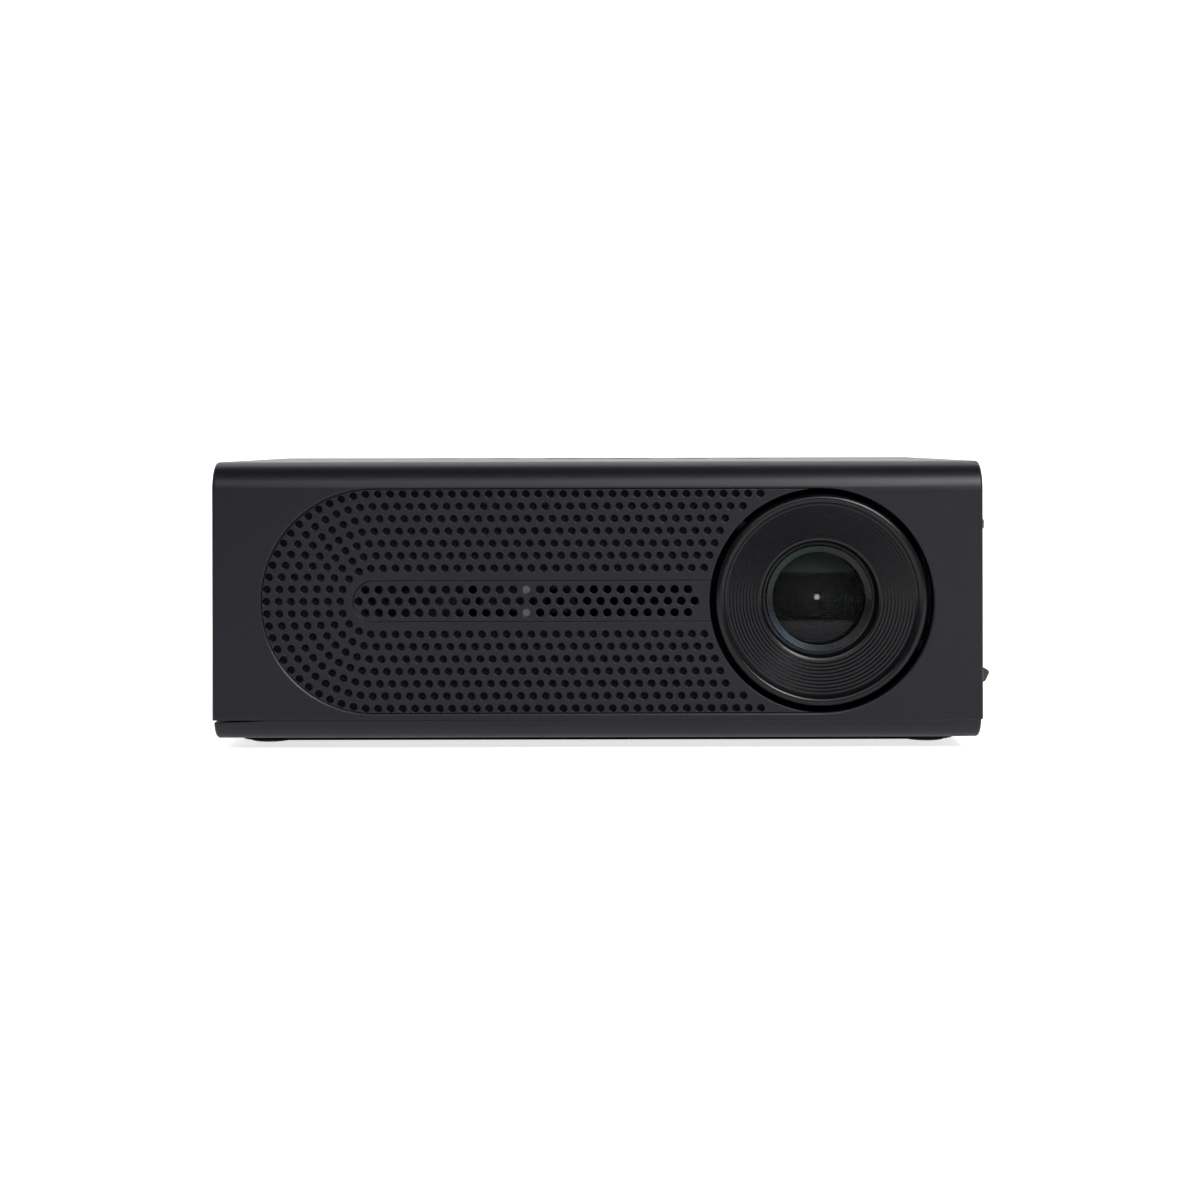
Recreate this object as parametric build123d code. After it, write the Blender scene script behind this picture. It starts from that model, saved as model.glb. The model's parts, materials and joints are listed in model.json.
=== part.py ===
from build123d import *
import os
from math import atan, cos, degrees, hypot, pi, radians, sin, tan

# Home projector. Millimetres, +Z up, the lens looks along -Y and +X is on the right of the lens.
# The origin lies under the tripod socket, on the plane that the rubber feet stand on.

# ---------------------------------------------------------------- driving dimensions

# Housing
BODY_WIDTH = 190.0
BODY_DEPTH = 130.0
SHELL_HEIGHT = 68.6
WALL = 2.2
TOP_RADIUS = 7.2            # long rounded edges between top and front, top and back
BOTTOM_RADIUS = 6.0         # long rounded edges of the underside
SIDE_EDGE_RADIUS = 0.8
SEAM_HEIGHT = 5.0           # parting line of the two housing halves, above the shell's underside
SEAM_GAP = 0.08
CORNER_GAP = 0.7            # how far the halves stand open at the left front corner
CORNER_GAP_LENGTH = 17.0
COVER_SIDE_INSET = 0.4
PLINTH_HEIGHT = 1.8
PLINTH_SIDE_STEP = 4.5      # from the sides of the body in to the plinth
PLINTH_END_STEP = 13.5
FOOT_HEIGHT = 1.2
FOOT_WIDTH = 11.0
FOOT_RECESS = 0.6
POST_X = 84.0               # case screws and feet
POST_Y = 41.0
CASE_SCREW_RADIUS = 1.25
BOARD_SCREW_RADIUS = 1.0
VENT_WIDTH = 2.2
VENT_PITCH = 4.0
EXHAUST_VENT_COUNT = 12
EXHAUST_VENT_HEIGHT = 44.0
INTAKE_VENT_COUNT = 10
INTAKE_VENT_HEIGHT = 36.0
FLOOR_VENT_COUNT = 9
FLOOR_VENT_PITCH = 4.2
TRIPOD_BORE_RADIUS = 3.175
TRIPOD_INSERT_RADIUS = 4.4
TRIPOD_BOSS_RADIUS = 6.6
TRIPOD_TOP_Z = 13.0
TRIPOD_MOUTH_Z = 0.3

# Front grille
LENS_X = 55.2               # the grille's left arc has its centre at -LENS_X
OPENING_RADIUS = 27.65      # end radius of the stadium-shaped opening in the front wall
OPENING_CHAMFER_WIDTH = 0.45    # the opening's edge leans in over this width
OPENING_CHAMFER_DEPTH = 0.24
GRILLE_GAP = 0.15
GRILLE_SINK = 0.1           # the grille's face lies this far behind the front wall's face
GRILLE_FACE_THICKNESS = 1.4
GRILLE_BACK = 3.4
GRILLE_PITCH = 3.04         # along each row of holes, and from row to row
GRILLE_ROWS = 7
FIRST_ROW_RADIUS = 8.15
GRILLE_HOLE_RADIUS = 0.96
LENS_KEEP_OUT = 29.2        # no grille hole is nearer to the lens axis than this
MESH_THICKNESS = 0.4
STRIP_RADIUS = 5.0
STRIP_SINK = 0.05
STRIP_HOLE_RADIUS = 1.05
STRIP_PITCH = 3.31
STRIP_ROW_HEIGHT = 2.84
STRIP_FIRST_X = -57.2
STRIP_COUNT = 25
LIGHT_PIPE_INDEX = 12       # the strip's hole, from the left, that the light pipes fill
LIGHT_PIPE_SINK = 0.3
INDICATOR_BOARD_DEPTH = 9.0

# Lens and focus drive
BEZEL_RADIUS = 26.2
BEZEL_THROAT_RADIUS = 14.6
BEZEL_STEPS = 10
BEZEL_FIRST_STEP = (15.2, 3.5)      # radius and depth of the innermost step
BEZEL_LAST_STEP = (23.6, 0.7)
BARREL_RADIUS = 17.0
BARREL_FRONT = 4.9
BARREL_BACK = 36.0
BARREL_TRAVEL = 3.2
GLASS_RADIUS = 14.0
RETAINER_RADIUS = 13.1        # outer edge of the bevelled ring over the front glass
MIDDLE_GLASS_RADIUS = 12.3
REAR_GLASS_RADIUS = 13.0
TUBE_FRONT = 5.2
TUBE_THICKNESS = 2.4
FLANGE_RADIUS = 25.5
FLANGE_THICKNESS = 3.0
FLANGE_SCREW_CIRCLE = 23.0
FLANGE_SCREW_ANGLES = [45.0, 135.0, 225.0, 315.0]
RING_FRONT = 9.4
RING_BACK = 20.6
RING_THICKNESS = 3.4
RUNNING_GAP = 0.06
FOCUS_ANGLE = 44.5          # swing of the focus lever
LEVER_REST_ANGLE = -25.2    # lever direction at rest, from +X towards +Z
LEVER_REACH = 47.2
LEVER_CAP_START = 45.45
LEVER_HALF_WIDTH = 1.2
LEVER_DEPTH = 12.0          # lever centre plane behind the front face
SLOT_WIDTH = 4.2
SLOT_END_CLEARANCE = 1.5
SLOT_TRIM_HEIGHT = 0.5
SLOT_STOP_HEIGHT = 2.0
CAM_PIN_RADIUS = 1.5
CAM_PIN_COUNT = 3
CAM_PIN_FIRST_ANGLE = 80.0
CAM_SLOT_CLEARANCE = 0.12
CAM_SLOT_SEGMENTS = 8
PIN_DEPTH = 12.6            # cam pin centres behind the front face, at rest

# Optical engine
ENGINE_Y = 10.0             # centre line of the light tunnel
ENGINE_WALL = 2.0
ENGINE_HALF_HEIGHT = 20.0
ENGINE_LEFT_X = -22.0
ENGINE_RIGHT_X = 80.0
ENGINE_FRONT_Y = -20.0
ENGINE_BACK_Y = 40.0
ENGINE_LEG_RADIUS = 3.6
ENGINE_LEG_GAP = 5.0        # from the engine's floor down to the bosses that carry it
ENGINE_LEGS = [(-17.6, -14.0), (75.0, -12.0), (-17.6, 34.0), (28.0, 34.0)]
LID_SCREWS = [(-18.0, -16.0), (76.0, -16.0), (-18.0, 36.0), (26.0, 36.0)]
OPTICAL_PLATES = [          # name, x of the lamp side, thickness
    ("rear_fresnel_lens", -2.0, 2.0),
    ("polarising_heat_glass", 5.0, 1.1),
    ("lcd_panel", 11.5, 2.2),
    ("front_fresnel_lens", 17.0, 2.0),
]
PLATE_HALF_WIDTH = 27.0
PLATE_HEIGHT = 34.0
RIB_THICKNESS = 1.0
RIB_REACH = 2.6
CONDENSER_X = -11.0
CONDENSER_FLANGE = 4.0
MIRROR_THICKNESS = 2.0
MIRROR_HALF_LENGTH = 26.0
LED_BOARD_THICKNESS = 2.0
HEAT_SINK_END_X = -58.0
HEAT_SINK_HALF = 22.0
FIN_COUNT = 12
FIN_THICKNESS = 1.2

# Fans and speaker
EXHAUST_FAN_SIZE = 50.0
EXHAUST_FAN_THICKNESS = 15.0
INTAKE_FAN_SIZE = 40.0
INTAKE_FAN_THICKNESS = 10.0
INTAKE_FAN_Y = 16.0
FAN_HUB_SHARE = 0.24
FAN_SHAFT_RADIUS = 1.0
BLADE_COUNT = 7
BLADE_PITCH_ANGLE = 38.0
SPEAKER_X = -52.0
SPEAKER_RADIUS = 20.0

# Boards and sockets
BOARD_Z = 9.0
BOARD_THICKNESS = 1.6
MAIN_BOARD_X = (-46.0, 62.0)
MAIN_BOARD_Y = (40.0, 61.0)
MAIN_BOARD_POSTS = [(x, 43.0) for x in (-42.0, 8.0, 58.0)]
MAIN_BOARD_CHIPS = [((22.0, 36.0), (41.0, 50.0)), ((40.0, 48.0), (42.0, 48.0)), ((-8.0, 0.0), (42.0, 48.0))]
MAIN_BOARD_CAPACITORS = [(x, 44.5) for x in (-34.0, -27.0, -20.0)]
POWER_BOARD_X = (-74.0, -50.0)
POWER_BOARD_Y = (34.0, 60.0)
POWER_BOARD_POSTS = [(-62.0, 37.0), (-62.0, 57.0)]
PORT_PANEL_X = (-44.0, 60.0)
PORT_PANEL_Z = (9.6, 25.0)
PORT_PANEL_LIP = 1.5
PORT_PANEL_SINK = 0.4
VIDEO_SOCKET = (6.0, 15.0, 5.6)     # x of the centre, width, height
USB_SOCKET = (30.0, 13.6, 6.6)
AUDIO_SOCKET = (-14.0, 7.0, 6.0)
POWER_INLET = (-34.0, 10.0, 10.0)

# Keys
KEY_TRAVEL = 0.5
KEY_Y = 20.0                # centre of the key pad on the top
KEY_SINK = 0.1              # key tops lie this far below the top face
KEY_GAP = 0.3
KEY_STEM_RADIUS = 1.3
KEY_FLANGE_REACH = 0.9      # flanges under the top wall keep the keys in
KEY_FLANGE_THICKNESS = 0.8
ROUND_KEY_RADIUS = 4.5
ROUND_KEYS = {"power_key": -44.0, "back_key": -27.0, "menu_key": 27.0, "source_key": 44.0}
OK_KEY_RADIUS = 6.2
ARROW_RING_RADIUS = 15.0
ARROW_HOLE_RADIUS = 7.0
ARROW_STEM_RADIUS = 11.0
ARROW_KEYS = {"right_key": 0.0, "up_key": 90.0, "left_key": 180.0, "down_key": 270.0}
KEY_BOARD_Z = 62.0
KEY_BOARD_POST_X = 52.0
SWITCH_HEIGHT = 2.4

# ---------------------------------------------------------------- worked-out places

FRONT_Y = -BODY_DEPTH / 2
BACK_Y = BODY_DEPTH / 2
SIDE_X = BODY_WIDTH / 2
SHELL_BOTTOM_Z = FOOT_HEIGHT + PLINTH_HEIGHT
TOP_Z = SHELL_BOTTOM_Z + SHELL_HEIGHT
AXIS_Z = SHELL_BOTTOM_Z + SHELL_HEIGHT / 2
SEAM_Z = SHELL_BOTTOM_Z + SEAM_HEIGHT
CEILING_Z = TOP_Z - WALL
POCKET_FLOOR_Z = FOOT_HEIGHT + WALL
PLINTH_HALF_WIDTH = SIDE_X - PLINTH_SIDE_STEP
PLINTH_HALF_DEPTH = BACK_Y - PLINTH_END_STEP
CASE_POSTS = [(x, y) for x in (-POST_X, POST_X) for y in (-POST_Y, POST_Y)]
CASE_SCREW_SEAT_Z = POCKET_FLOOR_Z + 1.2

GRILLE_PANEL_BACK = GRILLE_SINK + GRILLE_FACE_THICKNESS
GRILLE_FLANGE_RADIUS = OPENING_RADIUS + 1.0
GRILLE_RIM_RADIUS = FIRST_ROW_RADIUS + (GRILLE_ROWS - 1.5) * GRILLE_PITCH
STRIP_FLANGE_RADIUS = STRIP_RADIUS + 1.0
INDICATOR_X = STRIP_FIRST_X + STRIP_PITCH * LIGHT_PIPE_INDEX

TUBE_OUTER_RADIUS = BARREL_RADIUS + TUBE_THICKNESS
RING_OUTER_RADIUS = TUBE_OUTER_RADIUS + RING_THICKNESS
CAM_SLOT_HALF = CAM_PIN_RADIUS + CAM_SLOT_CLEARANCE
PIN_ANGLES = [CAM_PIN_FIRST_ANGLE + 360.0 / CAM_PIN_COUNT * i for i in range(CAM_PIN_COUNT)]
LENS_TO_WALL = SIDE_X - LENS_X
SLOT_Y = FRONT_Y + LEVER_DEPTH
SLOT_MARGIN = LEVER_HALF_WIDTH + SLOT_END_CLEARANCE
SLOT_LOW_Z = AXIS_Z + LENS_TO_WALL * tan(radians(LEVER_REST_ANGLE)) - SLOT_MARGIN
SLOT_HIGH_Z = AXIS_Z + LENS_TO_WALL * tan(radians(LEVER_REST_ANGLE + FOCUS_ANGLE)) + SLOT_MARGIN

ENGINE_FRONT_DEPTH = ENGINE_FRONT_Y - FRONT_Y
ENGINE_BOTTOM_Z = AXIS_Z - ENGINE_HALF_HEIGHT
ENGINE_TOP_Z = AXIS_Z + ENGINE_HALF_HEIGHT
ENGINE_FLOOR_Z = ENGINE_BOTTOM_Z + ENGINE_WALL
ENGINE_LEG_BOTTOM_Z = ENGINE_BOTTOM_Z - ENGINE_LEG_GAP
MIRROR_PLANE_SUM = LENS_X + ENGINE_Y     # the mirror's face lies where x + y has this value
ENGINE_DIAGONAL_SUM = MIRROR_PLANE_SUM + (MIRROR_THICKNESS + ENGINE_WALL + 0.1) * 2**0.5
HEAT_SINK_BACK_X = ENGINE_LEFT_X - LED_BOARD_THICKNESS
EXHAUST_FAN_X = -SIDE_X + WALL + 1.0 + EXHAUST_FAN_THICKNESS / 2
INTAKE_FAN_X = SIDE_X - WALL - 0.8 - INTAKE_FAN_THICKNESS / 2
SPEAKER_FRONT = GRILLE_BACK + 0.6

BOARD_TOP_Z = BOARD_Z + BOARD_THICKNESS
SOCKET_MOUTH_Y = BACK_Y - 0.6
KEY_FLANGE_TOP_Z = CEILING_Z - 0.05
OK_FLANGE_TOP_Z = KEY_FLANGE_TOP_Z - KEY_FLANGE_THICKNESS - KEY_TRAVEL - 0.1
KEY_BOARD_TOP_Z = KEY_BOARD_Z + BOARD_THICKNESS
KEY_BOARD_POSTS = [(x, KEY_Y + y) for x in (-KEY_BOARD_POST_X, KEY_BOARD_POST_X) for y in (-12.0, 12.0)]
SWITCH_TOP_Z = KEY_BOARD_TOP_Z + SWITCH_HEIGHT
KEY_STEM_BOTTOM_Z = SWITCH_TOP_Z + KEY_TRAVEL + 0.1


# ---------------------------------------------------------------- shape helpers

def block(x_range, y_range, z_range):
    """A box between two values on each axis."""
    sizes = [high - low for low, high in (x_range, y_range, z_range)]
    centre = [(high + low) / 2 for low, high in (x_range, y_range, z_range)]
    return Pos(*centre) * Box(*sizes)


def upright(x, y, z_low, z_high, radius):
    """A cylinder along Z."""
    return Pos(x, y, (z_low + z_high) / 2) * Cylinder(radius, z_high - z_low)


def front_plate(outline, near, far):
    """An outline drawn in X and Z, extruded from depth near to depth far behind the front face."""
    return extrude(Plane.XZ.offset(-(FRONT_Y + far)) * outline, amount=far - near)


def stadium(radius):
    """The racetrack outline that the grille's left arc and the lens share."""
    return Pos(0, AXIS_Z) * SlotCenterToCenter(2 * LENS_X, 2 * radius)


def lens_circle(radius):
    return Pos(LENS_X, AXIS_Z) * Circle(radius)


def turned(*points):
    """A ring round the lens axis from a closed outline of (radius, depth) points."""
    return turned_face(make_face(Polyline(*points, close=True)))


def turned_face(outline):
    return Pos(LENS_X, FRONT_Y, AXIS_Z) * revolve(outline, Axis.Y)


def tube(inner, outer, near, far):
    """A plain ring round the lens axis."""
    return turned((inner, near), (outer, near), (outer, far), (inner, far))


def about_lens(angle, shape):
    """Turns a shape about the lens axis, from +X towards +Z."""
    return Pos(LENS_X, FRONT_Y, AXIS_Z) * Rot(0, -angle, 0) * shape


def biconvex(radius, edge, bulge):
    """A lens element round Y with its mid-plane at the origin."""
    half = edge / 2
    outline = Polyline((0, -half - bulge), (0, half + bulge))
    sag_radius = (radius**2 + bulge**2) / (2 * bulge)
    middle = radius / 2
    middle_sag = (sag_radius**2 - middle**2) ** 0.5 - (sag_radius - bulge)
    outline += ThreePointArc((0, half + bulge), (middle, half + middle_sag), (radius, half))
    outline += Line((radius, half), (radius, -half))
    outline += ThreePointArc((radius, -half), (middle, -half - middle_sag), (0, -half - bulge))
    return revolve(make_face(outline), Axis.Y)


def screw(shank_radius, length):
    """A pan-head screw along +Z with a cross recess, the head's bearing face at the origin."""
    head_radius = 1.9 * shank_radius
    head_height = 1.2 * shank_radius
    recess = 0.55 * head_height
    head = Pos(0, 0, -head_height / 2) * Cylinder(head_radius, head_height)
    head = chamfer(head.edges().group_by(Axis.Z)[0], 0.3 * head_height)
    shank = Pos(0, 0, length / 2) * Cylinder(shank_radius, length)
    slot = Pos(0, 0, recess / 2 - head_height) * Box(1.3 * head_radius, 0.4 * shank_radius, recess)
    return head + shank - slot - Rot(0, 0, 90) * slot


# ---------------------------------------------------------------- housing

def shell_block(inset=0.0, side_inset=0.0):
    """The outer body of the projector, drawn in by an inset."""
    outline = Rectangle(BODY_DEPTH - 2 * inset, SHELL_HEIGHT - 2 * inset)
    outline = fillet(outline.vertices().group_by(Axis.Y)[-1], TOP_RADIUS - inset)
    outline = fillet(outline.vertices().group_by(Axis.Y)[0], BOTTOM_RADIUS - inset)
    half_width = SIDE_X - inset - side_inset
    return Pos(0, 0, AXIS_Z) * extrude(Plane.YZ * outline, amount=half_width, both=True)


def soft_sided(shell):
    """Takes the sharp edge off both ends of a shell."""
    ends = shell.faces().sort_by(Axis.X)
    return fillet(ends[0].edges() + ends[-1].edges(), SIDE_EDGE_RADIUS)


def side_slot(x_low, x_high, width, low_z, high_z):
    """A round-ended upright slot through something on the right side."""
    outline = SlotOverall(high_z - low_z, width, rotation=90)
    solid = extrude(Plane.YZ * outline, amount=x_high - x_low)
    return Pos(x_low, SLOT_Y, (low_z + high_z) / 2) * solid


def vent_slots(wall_x, centre_y, count, height):
    """A row of upright round-ended vent slots through the side wall at wall_x."""
    outline = SlotOverall(height, VENT_WIDTH, rotation=90)
    slot = extrude(Plane.YZ * outline, amount=WALL + 1, both=True)
    first = centre_y - VENT_PITCH * (count - 1) / 2
    return [Pos(wall_x, first + VENT_PITCH * i, AXIS_Z) * slot for i in range(count)]


def upper_housing():
    """Top, front, back and side walls in one moulding, open below."""
    shell = soft_sided(shell_block())
    shell -= shell_block(WALL)
    shell -= block((-SIDE_X - 1, SIDE_X + 1), (FRONT_Y - 1, BACK_Y + 1), (0, SEAM_Z))
    shell -= front_plate(stadium(OPENING_RADIUS), -1, WALL + 1)
    shell -= opening_chamfer()
    shell -= side_slot(SIDE_X - WALL - 1, SIDE_X + 1, SLOT_WIDTH, SLOT_LOW_Z, SLOT_HIGH_Z)
    shell -= vent_slots(-SIDE_X, ENGINE_Y, EXHAUST_VENT_COUNT, EXHAUST_VENT_HEIGHT)
    shell -= vent_slots(SIDE_X, INTAKE_FAN_Y, INTAKE_VENT_COUNT, INTAKE_VENT_HEIGHT)
    shell -= block(PORT_PANEL_X, (BACK_Y - WALL - 1, BACK_Y + 1), PORT_PANEL_Z)
    openings = [(x, ROUND_KEY_RADIUS) for x in ROUND_KEYS.values()] + [(0, ARROW_RING_RADIUS)]
    shell -= [upright(x, KEY_Y, CEILING_Z - 1, TOP_Z + 1, radius + KEY_GAP) for x, radius in openings]
    for x, y in CASE_POSTS:
        shell += upright(x, y, SEAM_Z + 0.2, CEILING_Z + 0.5, 3.5)
        shell -= upright(x, y, SEAM_Z - 1, SEAM_Z + 12, CASE_SCREW_RADIUS)
    for x, y in KEY_BOARD_POSTS:
        shell += upright(x, y, KEY_BOARD_TOP_Z, CEILING_Z + 0.5, 2.5)
        shell -= upright(x, y, KEY_BOARD_Z, CEILING_Z - 0.5, BOARD_SCREW_RADIUS)
    return shell


def opening_chamfer():
    """Cutter that breaks the edge of the opening in the front wall."""
    mouth = Plane.XZ.offset(-FRONT_Y) * stadium(OPENING_RADIUS + OPENING_CHAMFER_WIDTH)
    lean = degrees(atan(OPENING_CHAMFER_WIDTH / OPENING_CHAMFER_DEPTH))
    return extrude(mouth, amount=-OPENING_CHAMFER_DEPTH, taper=lean)


def bottom_cover():
    """Floor of the housing with its rounded rim, the plinth and all floor bosses."""
    cover = soft_sided(shell_block(side_inset=COVER_SIDE_INSET))
    cover -= shell_block(WALL, side_inset=COVER_SIDE_INSET)
    cover -= block((-SIDE_X, SIDE_X), (FRONT_Y - 1, BACK_Y + 1), (SEAM_Z - SEAM_GAP, TOP_Z + 1))
    cover += rim_lip()
    cover += plinth(PLINTH_HALF_WIDTH, PLINTH_HALF_DEPTH, FOOT_HEIGHT, SHELL_BOTTOM_Z + 0.5)
    cover -= plinth(PLINTH_HALF_WIDTH - WALL, PLINTH_HALF_DEPTH - WALL, POCKET_FLOOR_Z, SHELL_BOTTOM_Z + WALL)
    cover -= corner_gap()
    for x, y in CASE_POSTS:
        cover += upright(x, y, POCKET_FLOOR_Z - 0.5, SEAM_Z, 4.5)
        cover -= upright(x, y, 0, SEAM_Z + 1, CASE_SCREW_RADIUS + 0.25)
        cover -= upright(x, y, 0, CASE_SCREW_SEAT_Z, 2.7)
        cover -= Pos(x, y, FOOT_HEIGHT) * Cylinder(FOOT_WIDTH / 2 + 0.15, 2 * FOOT_RECESS)
    for x, y in ENGINE_LEGS:
        cover += upright(x, y, POCKET_FLOOR_Z - 0.5, ENGINE_LEG_BOTTOM_Z, ENGINE_LEG_RADIUS)
        cover -= upright(x, y, POCKET_FLOOR_Z + 2, ENGINE_BOTTOM_Z, BOARD_SCREW_RADIUS)
    for x, y in MAIN_BOARD_POSTS + POWER_BOARD_POSTS:
        cover += upright(x, y, POCKET_FLOOR_Z - 0.5, BOARD_Z, 2.6)
        cover -= upright(x, y, POCKET_FLOOR_Z + 0.6, BOARD_Z + 1, BOARD_SCREW_RADIUS)
    cover += upright(0, 0, POCKET_FLOOR_Z - 0.5, TRIPOD_TOP_Z, TRIPOD_BOSS_RADIUS)
    cover -= upright(0, 0, 0, TRIPOD_TOP_Z - WALL / 2, TRIPOD_INSERT_RADIUS)
    cover -= floor_vents()
    return cover


def rim_lip():
    """Thin tongue that rises inside the upper housing and lines the two halves up."""
    lip = shell_block(WALL + 0.1, side_inset=COVER_SIDE_INSET) - shell_block(WALL + 1.2)
    lip &= block((-SIDE_X, SIDE_X), (FRONT_Y, BACK_Y), (SEAM_Z - 2, SEAM_Z + 2.5))
    for y in (FRONT_Y, BACK_Y):
        lip -= block((-SIDE_X, SIDE_X), (y - 4, y + 4), (SEAM_Z + 0.6, TOP_Z))
    return lip


def plinth(half_width, half_depth, low_z, high_z):
    outline = RectangleRounded(2 * half_width, 2 * half_depth, 6)
    return Pos(0, 0, low_z) * extrude(outline, amount=high_z - low_z)


def corner_gap():
    """The halves stand slightly open at the left front corner and close along the front."""
    side = -SIDE_X - 1
    closed = (-SIDE_X + CORNER_GAP_LENGTH, SEAM_Z)
    wedge = make_face(Polyline((side, SEAM_Z), (side, SEAM_Z - CORNER_GAP), closed, close=True))
    return front_plate(wedge, -1, 30)


def floor_vents():
    """Two banks of air slots in the floor, clear of the bosses."""
    slot = extrude(SlotOverall(26, 2.4, rotation=90), amount=SEAM_Z)
    first_x = (-52.0, 16.0)
    return [Pos(x + FLOOR_VENT_PITCH * i, -22, 0) * slot for x in first_x for i in range(FLOOR_VENT_COUNT)]


def tripod_insert():
    """Brass socket for a quarter-inch tripod screw, with knurl rings."""
    top = TRIPOD_TOP_Z - WALL / 2
    insert = upright(0, 0, TRIPOD_MOUTH_Z, top, TRIPOD_INSERT_RADIUS)
    insert += upright(0, 0, TRIPOD_MOUTH_Z, FOOT_HEIGHT, TRIPOD_BOSS_RADIUS)
    for z in (3.5, 6.5, 9.5):
        groove = upright(0, 0, z, z + 0.8, TRIPOD_INSERT_RADIUS + 1)
        insert -= groove - upright(0, 0, z, z + 0.8, TRIPOD_INSERT_RADIUS - 0.4)
    return insert - upright(0, 0, 0, top - 1.5, TRIPOD_BORE_RADIUS)


def rubber_feet():
    foot = Pos(0, 0, (FOOT_HEIGHT + FOOT_RECESS) / 2) * Cylinder(FOOT_WIDTH / 2, FOOT_HEIGHT + FOOT_RECESS)
    foot = fillet(foot.edges().group_by(Axis.Z)[0], 0.5)
    return [Pos(x, y, 0) * foot for x, y in CASE_POSTS]


def case_screws():
    case_screw = screw(CASE_SCREW_RADIUS - 0.03, 14.0)
    return [Pos(x, y, CASE_SCREW_SEAT_Z) * case_screw for x, y in CASE_POSTS]


# ---------------------------------------------------------------- front grille

def row_points(radius):
    """Hole centres along one racetrack row, spaced evenly from its leftmost point both ways."""
    quarter = radius * pi / 2
    longest = quarter + 2 * LENS_X
    points = []
    for step in range(-int(longest / GRILLE_PITCH), int(longest / GRILLE_PITCH) + 1):
        travel = step * GRILLE_PITCH
        bend = max(-quarter, min(quarter, travel)) / radius
        x = -LENS_X - radius * cos(bend) + abs(travel) - abs(bend) * radius
        z = radius * sin(bend)
        if hypot(x - LENS_X, z) > LENS_KEEP_OUT and x < LENS_X:
            points.append((x, AXIS_Z + z))
    return points


def front_grille():
    """Perforated panel behind the stadium opening, held by a flange behind the front wall."""
    lens_hole = lens_circle(OPENING_RADIUS)
    face = stadium(OPENING_RADIUS - GRILLE_GAP) - lens_hole - strip_outline(STRIP_RADIUS + 0.1)
    holes = [Pos(x, z) * Circle(GRILLE_HOLE_RADIUS)
             for row in range(GRILLE_ROWS)
             for x, z in row_points(FIRST_ROW_RADIUS + row * GRILLE_PITCH)]
    panel = front_plate(face - holes, GRILLE_SINK, GRILLE_PANEL_BACK)
    wall = stadium(OPENING_RADIUS - GRILLE_GAP) - stadium(GRILLE_RIM_RADIUS)
    flange = stadium(GRILLE_FLANGE_RADIUS) - stadium(GRILLE_RIM_RADIUS)
    flange = flange + lens_circle(GRILLE_FLANGE_RADIUS) - lens_hole
    panel += front_plate(wall - lens_hole, GRILLE_PANEL_BACK, GRILLE_BACK)
    return panel + front_plate(flange, WALL + 0.3, GRILLE_BACK)


def dust_mesh():
    """Fine dust mesh glued behind the panel, open behind the centre strip."""
    outline = stadium(GRILLE_RIM_RADIUS - 0.1) - stadium(STRIP_FLANGE_RADIUS + 0.1)
    outline -= lens_circle(OPENING_RADIUS + 0.1)
    return front_plate(outline, GRILLE_PANEL_BACK, GRILLE_PANEL_BACK + MESH_THICKNESS)


def strip_outline(radius):
    return stadium(radius) - lens_circle(OPENING_RADIUS)


def strip_points():
    """Three staggered rows of holes in the centre strip."""
    outer = [(STRIP_FIRST_X + STRIP_PITCH * i, side * STRIP_ROW_HEIGHT)
             for side in (-1, 1) for i in range(STRIP_COUNT)]
    middle = [(STRIP_FIRST_X + STRIP_PITCH * (i - 0.5), 0) for i in range(STRIP_COUNT + 1)]
    return outer + middle


def centre_strip():
    """Perforated bar set into the grille on its centre line."""
    holes = [Pos(x, AXIS_Z + z) * Circle(STRIP_HOLE_RADIUS) for x, z in strip_points()]
    bar = front_plate(strip_outline(STRIP_RADIUS - 0.05) - holes, STRIP_SINK, GRILLE_PANEL_BACK)
    flange = stadium(STRIP_FLANGE_RADIUS) - stadium(STRIP_RADIUS - 1.0)
    flange -= lens_circle(GRILLE_FLANGE_RADIUS + 0.1)
    return bar + front_plate(flange, GRILLE_PANEL_BACK, GRILLE_PANEL_BACK + 1.0)


def light_pipes():
    """Two clear pins that carry the indicator light to the centre strip."""
    pins = []
    for side in (-1, 1):
        tip = Pos(INDICATOR_X, AXIS_Z + side * STRIP_ROW_HEIGHT) * Circle(STRIP_HOLE_RADIUS - 0.05)
        pins.append(front_plate(tip, LIGHT_PIPE_SINK, INDICATOR_BOARD_DEPTH - 0.5))
    return pins


def indicator_board():
    """Small board behind the centre strip with two lamps."""
    outline = Pos(INDICATOR_X, AXIS_Z) * Rectangle(24, 16)
    board = front_plate(outline, INDICATOR_BOARD_DEPTH, INDICATOR_BOARD_DEPTH + 1.2)
    for side in (-1, 1):
        lamp = Pos(INDICATOR_X, AXIS_Z + side * STRIP_ROW_HEIGHT) * Rectangle(1.6, 1.2)
        board += front_plate(lamp, INDICATOR_BOARD_DEPTH - 0.5, INDICATOR_BOARD_DEPTH)
    return board


def remote_receiver():
    """Infra-red receiver with its domed window, beside the lamps."""
    x = INDICATOR_X + 7
    window_depth = INDICATOR_BOARD_DEPTH - 3.5
    body = front_plate(Pos(x, AXIS_Z) * Rectangle(6, 7), window_depth, INDICATOR_BOARD_DEPTH)
    return body + Pos(x, FRONT_Y + window_depth, AXIS_Z) * Sphere(2.2)


# ---------------------------------------------------------------- lens and focus drive

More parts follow.
